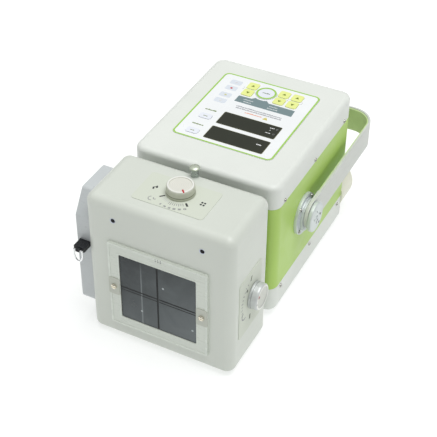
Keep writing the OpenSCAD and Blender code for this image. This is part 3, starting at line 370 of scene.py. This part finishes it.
COVER = plastic("cover_plastic", GREY_WHITE)
BAND = plastic("green_plastic", GREEN, rough=0.38, mottle=0.03, dust=0.0)
CASE = paint("collimator_paint", COLLIMATOR)
FRAME_PAINT = paint("frame_paint", srgb(214, 220, 210), rough=0.30)
TAPE_PAINT = paint("tape_paint", srgb(196, 201, 202), rough=0.32)
PANEL = plastic("panel_film", srgb(240, 243, 244), rough=0.30, grain=2200.0, relief=0.00001, dust=0.02)
DISPLAY = smoked("display_smoke", srgb(32, 36, 22), rough=0.34, coat=0.1)
PANE = window_film("window_smoke", *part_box("window_pane"))
KEY_YELLOW = plastic("key_yellow", srgb(232, 240, 150), rough=0.40, grain=1800.0, relief=0.00002, dust=0.0)
KEY_WHITE = plastic("key_white", srgb(231, 235, 243), rough=0.38, grain=1800.0, relief=0.00002, dust=0.0)
HUB = turned("hub_turned", srgb(216, 223, 222), hub_centre, rough=0.46, metal=0.35)
STRAP = paint("strap_paint", srgb(202, 206, 199), rough=0.36, peel=700.0)
LINER = rubber("liner_olive", srgb(196, 217, 158))
# Knob tones: face, flank, skirt, and the dark line of painted shade between flank and skirt.
KNOB_TOP = field_knob(
    "knob_cream", top_axis, top_knob_lo.z, "z", (top_knob_hi.x - top_knob_lo.x) / 2,
    ((228, 228, 218), (196, 199, 182), (182, 187, 166), (112, 117, 98)), metal=0.10,
)
KNOB_SIDE = field_knob(
    "knob_silver", side_axis, side_knob_lo.x, "x", (side_knob_hi.y - side_knob_lo.y) / 2,
    ((206, 208, 200), (204, 208, 207), (190, 195, 193), (150, 155, 152)), metal=0.25,
)
BUMPER = plastic("bumper_cream", CREAM, rough=0.45, grain=800.0, relief=0.00005)
LABEL = printed("label_film", srgb(211, 217, 203), rough=0.5)
CHROME = chrome("chrome")
BLACK = plastic("grip_black", srgb(26, 29, 33), rough=0.38, grain=1300.0, relief=0.00003, dust=0.0)
RUBBER = rubber("foot_rubber", srgb(40, 40, 42))
frame_lo, frame_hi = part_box("front_frame")
BEHIND_CLIPS = frame_lo.y + 0.02
SCREW = two_tone_metal(
    "screw_plating", BEHIND_CLIPS, "y", srgb(176, 176, 168), srgb(226, 221, 204), rough=0.14, metal=0.95,
)
STEEL = brushed("plated_steel", (0.60, 0.62, 0.63), "z", rough=0.36)
LEAF = brushed("leaf_steel", (0.50, 0.52, 0.53), "x", rough=0.42)
BOARD = plastic("circuit_board", srgb(28, 92, 56), rough=0.35, grain=900.0, dust=0.0)
PLASTIC_DARK = plastic("inlet_black", srgb(34, 34, 36), rough=0.45, grain=1200.0, dust=0.0)
REAR_PAINT = paint("rear_paint", srgb(86, 90, 90), rough=0.42)
INK_DARK = printed("ink_dark", srgb(44, 46, 50))
INK_GREY = printed("ink_grey", srgb(150, 152, 152))
INK_PALE = printed("ink_pale", srgb(186, 188, 192))
INK_HAZE = printed("ink_haze", srgb(168, 170, 175))
INK_GREEN = printed("ink_green", GREEN_PRINT)
INK_OLIVE = printed("ink_olive", srgb(120, 132, 40))
INK_WHITE = printed("ink_white", srgb(238, 240, 240))
INK_ORANGE = printed("ink_orange", srgb(232, 148, 110))
INK_YELLOW = printed("ink_yellow", srgb(206, 190, 40))
INK_RED = printed("ink_red", srgb(190, 26, 38), rough=0.4)
INK_SLATE = printed("ink_slate", srgb(120, 140, 143), rough=0.35)
INK_LILAC = printed("ink_lilac", srgb(220, 227, 235), rough=0.35)
LASER = plastic("laser_bezel", srgb(208, 214, 226), rough=0.25, grain=2200.0, relief=0.00001, dust=0.0)
# Painted shade for the laser openings: a near-black matt disc on each.
LASER_HOLE_SHADE = plastic("laser_hole_shade", srgb(4, 4, 9), rough=0.80, dust=0.0)
under_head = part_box("lamp_plunger")[1].z - 0.0037
PLUNGER = two_tone_metal(
    "plunger_plating", under_head, "z", srgb(206, 214, 196), srgb(168, 176, 170), rough=0.24, metal=0.55,
)


def indicator():
    """Lamp lenses: red, amber and two clear ones, told apart by where they are along the panel."""
    s = Shader("lamp_lens", 0.18, coat=0.5, coat_rough=0.05)
    lo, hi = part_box("indicator_lamps")
    place = s.ramp(s.place("y"), lo.y, hi.y)
    c = s.node("ShaderNodeValToRGB")
    c.color_ramp.interpolation = "CONSTANT"
    first, second = c.color_ramp.elements
    first.color = (*srgb(226, 226, 224), 1)
    second.position = 0.16
    second.color = (*srgb(206, 204, 150), 1)
    for position, value in ((0.52, srgb(206, 52, 56)), (0.84, srgb(226, 226, 230))):
        c.color_ramp.elements.new(position).color = (*value, 1)
    s.link(place, c.inputs["Fac"])
    s.colour(c.outputs["Color"])
    s.bump(s.noise(1200.0, 2.0), 0.00001, 0.3)
    return s.mat


FINISH = {
    COVER: "top_cover bottom_cover",
    BAND: "middle_shell",
    CASE: "collimator_case",
    FRAME_PAINT: "front_frame",
    TAPE_PAINT: "tape_housing",
    PANEL: "panel_face",
    DISPLAY: "display_windows",
    PANE: "window_pane",
    KEY_YELLOW: "key_1 key_2 key_3 key_4 key_5 key_6",
    KEY_WHITE: "ring_key mode_key memory_key",
    HUB: "hub_flanges hub_caps",
    STRAP: "handle_strap",
    LINER: "handle_liner",
    KNOB_TOP: "top_knob",
    KNOB_SIDE: "side_knob",
    BUMPER: "rear_bumpers",
    LABEL: "scale_plates",
    PLUNGER: "lamp_plunger",
    CHROME: "tape_ring",
    BLACK: "tape_pull power_switch",
    RUBBER: "feet",
    SCREW: "small_screws",
    paint("clip_paint", srgb(192, 196, 184), rough=0.32): "frame_clips",
    STEEL: "chassis_plate tube_tank port_neck top_knob_shaft side_knob_shaft collimator_back",
    LEAF: "leaf_left leaf_right leaf_upper leaf_lower leaf_frame",
    BOARD: "display_board control_board inverter_board",
    PLASTIC_DARK: "power_inlet",
    REAR_PAINT: "rear_panel",
    LASER: "laser_modules",
    indicator(): "indicator_lamps",
    turned("socket_nickel", (0.74, 0.75, 0.76), middle("hand_switch_socket"), "y"): "hand_switch_socket",
    smoked("tube_glass", (0.75, 0.85, 0.88), rough=0.04, alpha=0.35): "tube_envelope",
    turned("copper", (0.72, 0.42, 0.26), middle("tube_electrodes")): "tube_electrodes",
    plastic("capacitor_sleeve", srgb(44, 60, 104), rough=0.3, dust=0.0): "capacitor_bank",
    chrome("silvered", (0.86, 0.89, 0.90), rough=0.03): "light_mirror",
    plastic("lamp_ceramic", srgb(232, 231, 224), rough=0.5, dust=0.0): "field_lamp",
    plastic("reel_plastic", srgb(206, 196, 110), rough=0.4, dust=0.0): "tape_reel",
    paint("blade_lacquer", srgb(222, 206, 96), rough=0.28): "tape_blade",
}
for material, names in FINISH.items():
    for name in names.split():
        NODES[name].data.materials.clear()
        NODES[name].data.materials.append(material)

# ---------------------------------------------------------------- softened edges on the CAD's own meshes

SOFT_EDGES = {
    0.35: "panel_face hub_caps rear_panel power_inlet tape_pull handle_liner",
    0.60: "front_frame handle_strap feet hub_flanges",
    0.45: "key_1 key_2 key_3 key_4 key_5 key_6 ring_key mode_key memory_key top_knob side_knob power_switch",
    0.20: "display_windows frame_clips laser_modules scale_plates hand_switch_socket",
    1.20: "tape_housing",
}


def soften(obj, width):
    weld = obj.modifiers.new("weld", "WELD")
    weld.merge_threshold = 0.00001
    bevel = obj.modifiers.new("bevel", "BEVEL")
    bevel.width = width * MM
    bevel.segments = 3
    bevel.limit_method = "ANGLE"
    bevel.angle_limit = math.radians(38)
    bevel.harden_normals = True


for width, names in SOFT_EDGES.items():
    for name in names.split():
        soften(NODES[name], width)

# ---------------------------------------------------------------- flat prints and inlays


def rounded(cx, cy, w, h, r, n=8):
    """Closed outline of a rounded rectangle, in mm."""
    points = []
    for k, (sx, sy) in enumerate(((1, 1), (-1, 1), (-1, -1), (1, -1))):
        for i in range(n + 1):
            a = math.radians(90 * k + 90 * i / n)
            points.append((cx + sx * (w / 2 - r) + r * math.cos(a), cy + sy * (h / 2 - r) + r * math.sin(a)))
    return points


def circle(cx, cy, r, n=48):
    return [(cx + r * math.cos(math.tau * i / n), cy + r * math.sin(math.tau * i / n)) for i in range(n)]


def band(cx, cy, r0, r1, a0, a1, n=16):
    """Piece of a ring, angles in degrees from +x."""
    angles = [math.radians(a0 + (a1 - a0) * i / n) for i in range(n + 1)]
    outer = [(cx + r1 * math.cos(a), cy + r1 * math.sin(a)) for a in angles]
    return outer + [(cx + r0 * math.cos(a), cy + r0 * math.sin(a)) for a in reversed(angles)]


def tick(r0, r1, degrees, width):
    """Radial tick, at an angle from -y towards +x."""
    a = math.radians(degrees)
    along, across = (math.sin(a), -math.cos(a)), (math.cos(a), math.sin(a))
    return [
        (along[0] * r + across[0] * k * width / 2, along[1] * r + across[1] * k * width / 2)
        for r, k in ((r0, -1), (r1, -1), (r1, 1), (r0, 1))
    ]


def ticks(count, first, step, r0, r1, longer, width):
    """Radial ticks, every second one longer."""
    return [tick(r0, r1 + (k % 2) * longer, first + step * k, width) for k in range(count)]


def facing(origin, x, y):
    """Matrix of a drawing plane: local x and y in the row frame, its normal out of the surface."""
    x, y = Vector(x), Vector(y)
    return Matrix.Translation(Vector(origin)) @ Matrix((x, y, x.cross(y))).transposed().to_4x4()


TO_FRONT = (1, 0, 0), (0, 0, 1)
TO_RIGHT = (0, 1, 0), (0, 0, 1)
TO_REAR = (-1, 0, 0), (0, 0, 1)


def up_at(z, y=0.0, x=0.0):
    """Drawing plane that faces up."""
    return facing((x, y, z), (1, 0, 0), (0, 1, 0))


def top_of(node):
    """Drawing plane on the middle of a node's top."""
    mid = middle(node)
    return up_at(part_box(node)[1].z, mid.y, mid.x)


def mesh_of(obj):
    """Replaces a curve or text object by its mesh."""
    bpy.context.view_layer.update()
    graph = bpy.context.evaluated_depsgraph_get()
    mesh = bpy.data.meshes.new_from_object(obj.evaluated_get(graph))
    made = bpy.data.objects.new(obj.name, mesh)
    matrix, name = obj.matrix_world.copy(), obj.name
    bpy.data.objects.remove(obj)
    made.name = name
    made.matrix_world = matrix
    bpy.context.scene.collection.objects.link(made)
    return made


def flat(name, loops, place, material, body="unit", thick=0.12, sink=0.04):
    """Thin inlay with softened edges from closed outlines in mm; an outline inside another is a hole."""
    edge = min(0.03, thick / 3)
    curve = bpy.data.curves.new(name, "CURVE")
    curve.dimensions = "2D"
    curve.fill_mode = "BOTH"
    for loop in loops:
        spline = curve.splines.new("POLY")
        spline.points.add(len(loop) - 1)
        for point, (x, y) in zip(spline.points, loop):
            point.co = (x * MM, y * MM, 0, 1)
        spline.use_cyclic_u = True
    curve.extrude = (thick / 2 - edge) * MM
    curve.bevel_depth = edge * MM
    curve.bevel_resolution = 1
    curve.offset = -edge * MM
    obj = bpy.data.objects.new(name, curve)
    bpy.context.scene.collection.objects.link(obj)
    obj.matrix_world = place @ Matrix.Translation((0, 0, (thick / 2 - sink) * MM))
    obj = mesh_of(obj)
    obj.data.materials.clear()
    obj.data.materials.append(material)
    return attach(obj, body)


def marks(seed, x0, x1, y, height, share=0.78):
    """A row of short bars and dots that stands for a caption. It spells nothing."""
    rng = random.Random(seed)
    loops, x = [], x0
    while x < x1 - height * 0.4:
        w = min(rng.uniform(0.5, 1.6) * height, x1 - x)
        h = height * rng.choice((1.0, 0.7, 0.7, 0.85))
        bar_w = w * share
        loops.append(rounded(x + bar_w / 2, y - (height - h) / 2, bar_w, h, min(bar_w, h) * 0.3, 3))
        x += w
    return loops


def rim_of(w, h, outer, inner, r_outer, r_inner, cx=0.0, cy=0.0):
    """Outline between two rounded rectangles, each so much smaller than w by h."""
    return [
        rounded(cx, cy, w - outer, h - outer, r_outer),
        rounded(cx, cy, w - inner, h - inner, r_inner),
    ]


# ---------------------------------------------------------------- control panel, in mm from the body's front

body_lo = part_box("middle_shell")[0]
panel_lo, panel_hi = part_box("panel_face")
panel_mid = middle("panel_face")
panel_w = (panel_hi.x - panel_lo.x) / MM
panel_l = (panel_hi.y - panel_lo.y) / MM
panel = up_at(panel_hi.z, body_lo.y)
panel_cx, panel_cy = panel_mid.x / MM, (panel_mid.y - body_lo.y) / MM

flat(
    "panel_outline", rim_of(panel_w, panel_l, 0.3, 4.8, 7.6, 5.8, panel_cx, panel_cy),
    panel, INK_GREEN,
)

ring_lo, ring_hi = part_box("ring_key")
ring_mid = middle("ring_key")
ring_x, ring_y = ring_mid.x / MM, (ring_mid.y - body_lo.y) / MM
ring_r = (ring_hi.x - ring_lo.x) / 2 / MM
bar = [(-31.7, 148.2), (50.3, 147.8), (49.5, 162.2), (ring_x + 12.5, 162.6)]
for degrees in (28, 20, 10, 0, -10, -20, -28):
    a = math.radians(degrees)
    bar.append((ring_x + 17.4 * math.sin(a), ring_y - 17.4 * math.cos(a)))
bar += [(ring_x - 12.5, 162.8), (-31.6, 162.4)]
flat("panel_bar", [bar], panel, INK_SLATE)
bar_marks = marks(3, -22, -8, 157.2, 1.5) + marks(4, -20, -9, 152.2, 1.5)
bar_marks += marks(5, 15, 27, 157.2, 1.5) + marks(6, 14, 29, 152.2, 1.5)
flat("panel_bar_marks", bar_marks, panel, INK_WHITE, thick=0.16)
small_marks = marks(7, -24, 41, 139.4, 2.6, 0.9) + marks(8, -23, 42, 135.4, 2.6, 0.9)
flat("panel_small_marks", small_marks, panel, INK_HAZE)
flat("panel_orange_marks", marks(9, -7, 17, 129.6, 1.8, 0.92), panel, INK_ORANGE)
warning = [
    [(19.0, 126.0), (26.4, 126.0), (22.7, 131.8)],
    [(22.3, 127.1), (23.1, 127.1), (22.9, 129.8), (22.5, 129.8)],
]
flat("panel_triangle", warning, panel, INK_YELLOW)

lamp_lo, lamp_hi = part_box("indicator_lamps")
column = middle("indicator_lamps").x / MM
lamp_rows = [(lamp_lo.y - body_lo.y) / MM + 2.2, 156.0, 174.0, (lamp_hi.y - body_lo.y) / MM - 2.2]
pads = []
for y in lamp_rows:
    pads += [rounded(column, y, 16.5, 10.5, 2.2), circle(column, y, 1.9, 24)]
flat("panel_lamp_pads", pads, panel, INK_LILAC, thick=0.10)
captions = []
for k, name in enumerate(("mode_key", "memory_key")):
    y = (middle(name).y - body_lo.y) / MM
    captions += marks(20 + k, column - 8.5, column + 8.5, y + 15.8, 2.8, 0.92)
flat("panel_captions", captions, panel, printed("ink_moss", srgb(132, 150, 104)))
rows = []
for k, (x, y) in enumerate(((31.1, 182), (50.2, 182), (-34.0, 182))):
    rows += marks(30 + k, x - 0.9, x + 1.1, y + 2.2, 1.1) + marks(40 + k, x - 0.9, x + 1.1, y - 1.6, 1.1)
flat("panel_pair_marks", rows, panel, INK_GREY)

# Glyphs on the keys: arrows up and down on the yellow ones, short marks on the others
arrow_up = [(-2.6, -1.8), (2.6, -1.8), (0, 2.6)]
arrow_down = [(-2.6, 1.8), (0, -2.6), (2.6, 1.8)]
for k in range(6):
    name = f"key_{k + 1}"
    glyph = [arrow_down if k % 2 else arrow_up]
    flat(f"{name}_glyph", glyph, top_of(name), INK_OLIVE, name, thick=0.14)
for k, name in enumerate(("mode_key", "memory_key")):
    glyph = marks(50 + k, -3.0, 3.2, 0, 2.0)
    flat(f"{name}_glyph", glyph, top_of(name), INK_OLIVE, name, thick=0.14)
ring_top = top_of("ring_key")
flat(
    "ring_key_band", [circle(0, 0, ring_r - 0.5, 96), circle(0, 0, ring_r - 3.1, 96)],
    ring_top, INK_GREEN, "ring_key", thick=0.3,
)
flat(
    "ring_key_glyph", marks(60, -5.2, 5.4, 0, 2.2),
    ring_top, printed("ink_moss_dark", srgb(104, 124, 84)), "ring_key", thick=0.14,
)

# Displays: a bright rim line, unlit captions and small lamps behind the smoke
display_lo, display_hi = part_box("display_windows")
display_x = middle("display_windows").x / MM
display_w = (display_hi.x - display_lo.x) / MM
DISPLAY_H = 28.5
near_y = (display_lo.y - body_lo.y) / MM + DISPLAY_H / 2
far_y = (display_hi.y - body_lo.y) / MM - DISPLAY_H / 2
glass = up_at(display_hi.z, body_lo.y)
rims, lamps = [], []
for y in (near_y, far_y):
    rims += rim_of(display_w, DISPLAY_H, 0.2, 1.2, 1.8, 1.4, display_x, y)
legends = marks(70, 36.5, 43.0, far_y + 7.4, 1.9) + marks(71, 38.5, 40.0, far_y + 2.2, 1.5)
legends += marks(72, 35.5, 43.5, far_y - 4.2, 1.9) + marks(73, 36.5, 43.5, near_y + 2.5, 2.2)
for y in (far_y + 7.2, far_y - 4.4):
    lamps += [rounded(46.7, y, 2.2, 2.6, 0.4), rounded(46.7, y, 1.5, 1.9, 0.3)]
flat("display_rims", rims, glass, printed("ink_rim", srgb(120, 120, 74)), thick=0.08)
flat("display_legends", legends, glass, INK_WHITE, thick=0.08)
flat("display_lamps", lamps, glass, INK_GREY, thick=0.08)

# ---------------------------------------------------------------- scale round the top knob

scale_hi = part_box("scale_plates")[1]
dial = up_at(scale_hi.z, top_axis.y, top_axis.x)
bold = [tick(18.8, 25.8, -46, 1.9), tick(21.2, 27.6, 45, 2.4)]
flat("dial_bold_marks", bold, dial, INK_DARK)
flat("dial_fine_ticks", ticks(8, -7, 6.0, 21.0, 25.2, 0.8, 0.8), dial, INK_GREY)
flat("dial_faint_ticks", ticks(5, -37, 6.0, 21.0, 24.0, 0.0, 0.5), dial, INK_PALE)
closed_field = [rounded(x, y, 2.4, 2.6, 0.3, 2) for x in (31.4, 35.0) for y in (-5.2, -9.2)]
open_field = [
    [(-34.6, -5.4), (-32.9, -4.0), (-31.3, -8.0), (-33.0, -9.2)],
    [(-31.6, -2.0), (-29.9, -0.6), (-28.3, -4.6), (-30.0, -5.8)],
    [(-33.4, -4.6), (-30.6, -2.6), (-30.4, -3.8), (-33.2, -5.8)],
]
flat("dial_icons", closed_field + open_field, dial, INK_DARK)
arcs = [band(-25.8, -25.0, 3.0, 4.0, 110, 300), band(-21.8, -23.4, 1.2, 2.2, 150, 350)]
flat("dial_arc_icon", arcs, dial, INK_GREY)


def number(text, size, place, name):
    """A dial number."""
    curve = bpy.data.curves.new(name, "FONT")
    curve.body = text
    curve.size = size * MM
    curve.align_x = curve.align_y = "CENTER"
    curve.extrude = 0.00004
    curve.offset = 0.00030
    obj = bpy.data.objects.new(name, curve)
    bpy.context.scene.collection.objects.link(obj)
    obj.matrix_world = place
    obj = mesh_of(obj)
    obj.data.materials.clear()
    obj.data.materials.append(INK_GREY)
    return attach(obj, "unit")


def turned_by(angle):
    """Turn about a drawing plane's normal."""
    return Matrix.Rotation(angle, 4, "Z")


NUMBER_R = 31.6
for k in range(6):
    a = math.radians(-20 + 11.4 * k)
    spot = Matrix.Translation((NUMBER_R * math.sin(a) * MM, -NUMBER_R * math.cos(a) * MM, 0.00004))
    number(str(5 * (k + 1)), 3.4, dial @ spot @ turned_by(a), f"dial_number_{k + 1}")

TOP_POINTER = math.radians(41.5)
SIDE_POINTER = math.radians(-126.0)
pointer_top = top_of("top_knob") @ turned_by(TOP_POINTER)
flat(
    "top_knob_pointer", [rounded(0, -13.3, 1.9, 5.8, 0.8, 4)],
    pointer_top, INK_RED, "top_knob", thick=0.9, sink=0.8,
)

# ---------------------------------------------------------------- scale round the side knob

side_dial = facing((scale_hi.x, side_axis.y, side_axis.z), *TO_RIGHT)
flat("side_dial_ticks", ticks(10, -150, 9.0, 29.5, 33.0, 1.6, 1.0), side_dial, INK_GREY)
slanted = [
    [(-10.0, 28.8), (-7.6, 28.2), (-4.8, 34.6), (-7.2, 35.2)],
    [(-11.2, -32.8), (-8.2, -32.8), (-7.2, -25.8), (-10.2, -25.8)],
]
flat("side_dial_icons", slanted, side_dial, printed("ink_smoke", srgb(84, 92, 72)))
flat("side_dial_dot", [circle(-18.4, 19.7, 1.9, 20)], side_dial, INK_DARK)
flat("side_dial_arc", [band(-24.5, -14.5, 5.6, 7.4, 120, 300)], side_dial, INK_GREY)
side_face = facing((side_knob_hi.x, side_axis.y, side_axis.z), *TO_RIGHT)
pointer_side = side_face @ turned_by(SIDE_POINTER)
flat(
    "side_knob_pointer", [circle(0, -13.0, 1.9, 24)],
    pointer_side, INK_RED, "side_knob", thick=0.9, sink=0.8,
)
flat(
    "side_knob_pointer_pip", [circle(0, -13.0, 1.2, 20)],
    pointer_side, INK_DARK, "side_knob", thick=0.95, sink=0.8,
)

# ---------------------------------------------------------------- beam window

beam = middle("window_pane")
front = facing((beam.x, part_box("window_pane")[0].y, beam.z), *TO_FRONT)
CLEAR_W, CLEAR_H = 104.0, 101.0
hairline = printed("ink_hairline", srgb(14, 17, 18), rough=0.75)
flat(
    "window_crosshair",
    [rounded(-0.4, 0, 2.3, CLEAR_H, 0.1, 2)]
    + [rounded(sx * 26.8, y, 50.4, h, 0.1, 2) for sx in (-1, 1) for y, h in ((-0.2, 2.0), (-4.2, 1.3))],
    front, hairline, thick=0.10,
)
flat(
    "window_glints",
    [circle(x, y, 1.5, 20) for x, y in ((7.5, 20.3), (-23.5, -30.0), (47.0, -31.6))],
    front, printed("ink_glint", srgb(168, 176, 178)), thick=0.08,
)
edge_line = rim_of(CLEAR_W, CLEAR_H, -0.8, 0.6, 1.4, 0.8)
flat("window_edge", edge_line, front, hairline, thick=0.12)
frame_mid = middle("front_frame")
plate = facing((frame_mid.x, frame_lo.y, frame_mid.z), *TO_FRONT)
frame_w, frame_h = (frame_hi.x - frame_lo.x) / MM, (frame_hi.z - frame_lo.z) / MM
# The raised rims are real relief. Their lighter copy of the frame paint is a painted highlight along them.
rim_highlight_paint = paint("frame_rim_highlight_paint", srgb(222, 228, 219), rough=0.26)
raised_rim = rim_of(frame_w, frame_h, 1.0, 6.0, 2.6, 1.2)
flat("frame_raised_rim", raised_rim, plate, rim_highlight_paint, thick=0.7, sink=0.1)
inner_rim = rim_of(CLEAR_W, CLEAR_H, -4.4, -1.6, 1.6, 1.0, cy=-0.5)
flat("frame_inner_rim", inner_rim, plate, rim_highlight_paint, thick=0.5, sink=0.1)
notch = facing((beam.x, frame_lo.y, frame_hi.z), *TO_FRONT)
notches = [rounded(x, y, 0.8, 1.6, 0.2, 2) for x in (-1.0, 2.4, 5.8) for y in (-1.6, -4.6)]
flat("frame_notch_marks", notches, notch, INK_GREY, thick=0.9, sink=0.1)

# The laser openings: discs of painted shade, each set off so that a sliver of its bright bezel shows at the
# lower left
LASER_R = 0.0038
laser_lo, laser_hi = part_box("laser_modules")
for side, x in (("left", laser_lo.x + LASER_R), ("right", laser_hi.x - LASER_R)):
    mouth = facing((x, laser_lo.y, (laser_lo.z + laser_hi.z) / 2), *TO_FRONT)
    opening = [circle(0.55, 0.45, 2.9, 32)]
    flat(f"laser_mouth_{side}", opening, mouth, LASER_HOLE_SHADE, thick=0.10)

# Dark spots on the visible trunnion cap, beside its tapped holes
cap_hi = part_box("hub_caps")[1]
cap_face = facing((cap_hi.x, hub_centre.y, hub_centre.z), *TO_RIGHT)
spots = ((12.0, -2.3, 1.7), (3.2, -6.2, 1.5), (8.2, -13.2, 1.8), (-0.9, -9.0, 1.0))
flat("cap_spots", [circle(*spot, 20) for spot in spots], cap_face, INK_DARK, thick=0.05)

# ---------------------------------------------------------------- rear symbols

rear_lo, rear_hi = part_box("rear_panel")
rear = facing((middle("power_switch").x, rear_hi.y, rear_lo.z), *TO_REAR)
on_and_off = [rounded(0, 35.0, 0.7, 4.0, 0.2, 2), circle(0, 5.8, 2.1, 32), circle(0, 5.8, 1.4, 32)]
flat("rear_switch_marks", on_and_off, rear, INK_WHITE)
rear_w, rear_h = (rear_hi.x - rear_lo.x) / MM, (rear_hi.z - rear_lo.z) / MM
rear_mid = facing((0, rear_hi.y, (rear_lo.z + rear_hi.z) / 2), *TO_REAR)
flat("rear_outline", rim_of(rear_w, rear_h, 6, 7.2, 4, 3.5), rear_mid, INK_WHITE)

# ---------------------------------------------------------------- stage, light and camera

floor_mesh = bpy.data.meshes.new("floor")
floor_mesh.from_pydata([(-8, -8, 0), (8, -8, 0), (8, 8, 0), (-8, 8, 0)], [], [(0, 1, 2, 3)])
floor = bpy.data.objects.new("floor", floor_mesh)
bpy.context.scene.collection.objects.link(floor)
paper = Shader("floor_paper", 0.9)
paper.colour(paper.mix(paper.ramp(paper.noise(3.0), 0.3, 0.7), (0.43, 0.43, 0.43), (0.45, 0.45, 0.45)))
paper.put("Emission Color", (0.98, 1.0, 0.99, 1.0))
paper.put("Emission Strength", 0.62)
paper.put("Specular IOR Level", 0.1)
floor_mesh.materials.append(paper.mat)

world = bpy.data.worlds.new("studio")
bpy.context.scene.world = world
world.use_nodes = True
tree = world.node_tree
tree.nodes.clear()
new, join = tree.nodes.new, tree.links.new
# The light: a soft sky, bright overhead and dim at the horizon
direction, split, ramp = new("ShaderNodeTexCoord"), new("ShaderNodeSeparateXYZ"), new("ShaderNodeValToRGB")
ramp.color_ramp.elements[0].color = (0.10, 0.10, 0.11, 1)
ramp.color_ramp.elements[1].position = 0.75
ramp.color_ramp.elements[1].color = (1.0, 1.0, 1.0, 1)
sky = new("ShaderNodeBackground")
sky.inputs["Strength"].default_value = 0.55
join(direction.outputs["Generated"], split.inputs["Vector"])
join(split.outputs["Z"], ramp.inputs["Fac"])
join(ramp.outputs["Color"], sky.inputs["Color"])
# What is seen past the floor's edge: plain white
backdrop, rays = new("ShaderNodeBackground"), new("ShaderNodeLightPath")
backdrop.inputs["Color"].default_value = (1.0, 1.0, 1.0, 1.0)
either, sky_out = new("ShaderNodeMixShader"), new("ShaderNodeOutputWorld")
join(rays.outputs["Is Camera Ray"], either.inputs["Fac"])
join(sky.outputs["Background"], either.inputs[1])
join(backdrop.outputs["Background"], either.inputs[2])
join(either.outputs["Shader"], sky_out.inputs["Surface"])

sun = bpy.data.lights.new("soft_key", "SUN")
sun.energy = 2.1
sun.angle = math.radians(50)
key = bpy.data.objects.new("soft_key", sun)
key.rotation_euler = Vector((0.16, 0.02, 0.98)).to_track_quat("Z", "Y").to_euler()
bpy.context.scene.collection.objects.link(key)

lens = bpy.data.cameras.new("camera")
lens.sensor_width = 36.0
lens.lens = 93.31
lens.shift_x = 0.0669
lens.shift_y = -0.0402
lens.clip_start = 0.05
lens.clip_end = 50.0
camera = bpy.data.objects.new("camera", lens)
camera.location = (0.51299, -1.07043, 1.03781)
camera.rotation_euler = tuple(math.radians(a) for a in (51.493, 0.511, 28.177))
bpy.context.scene.collection.objects.link(camera)
bpy.context.scene.camera = camera
bpy.context.scene.view_settings.view_transform = "Standard"
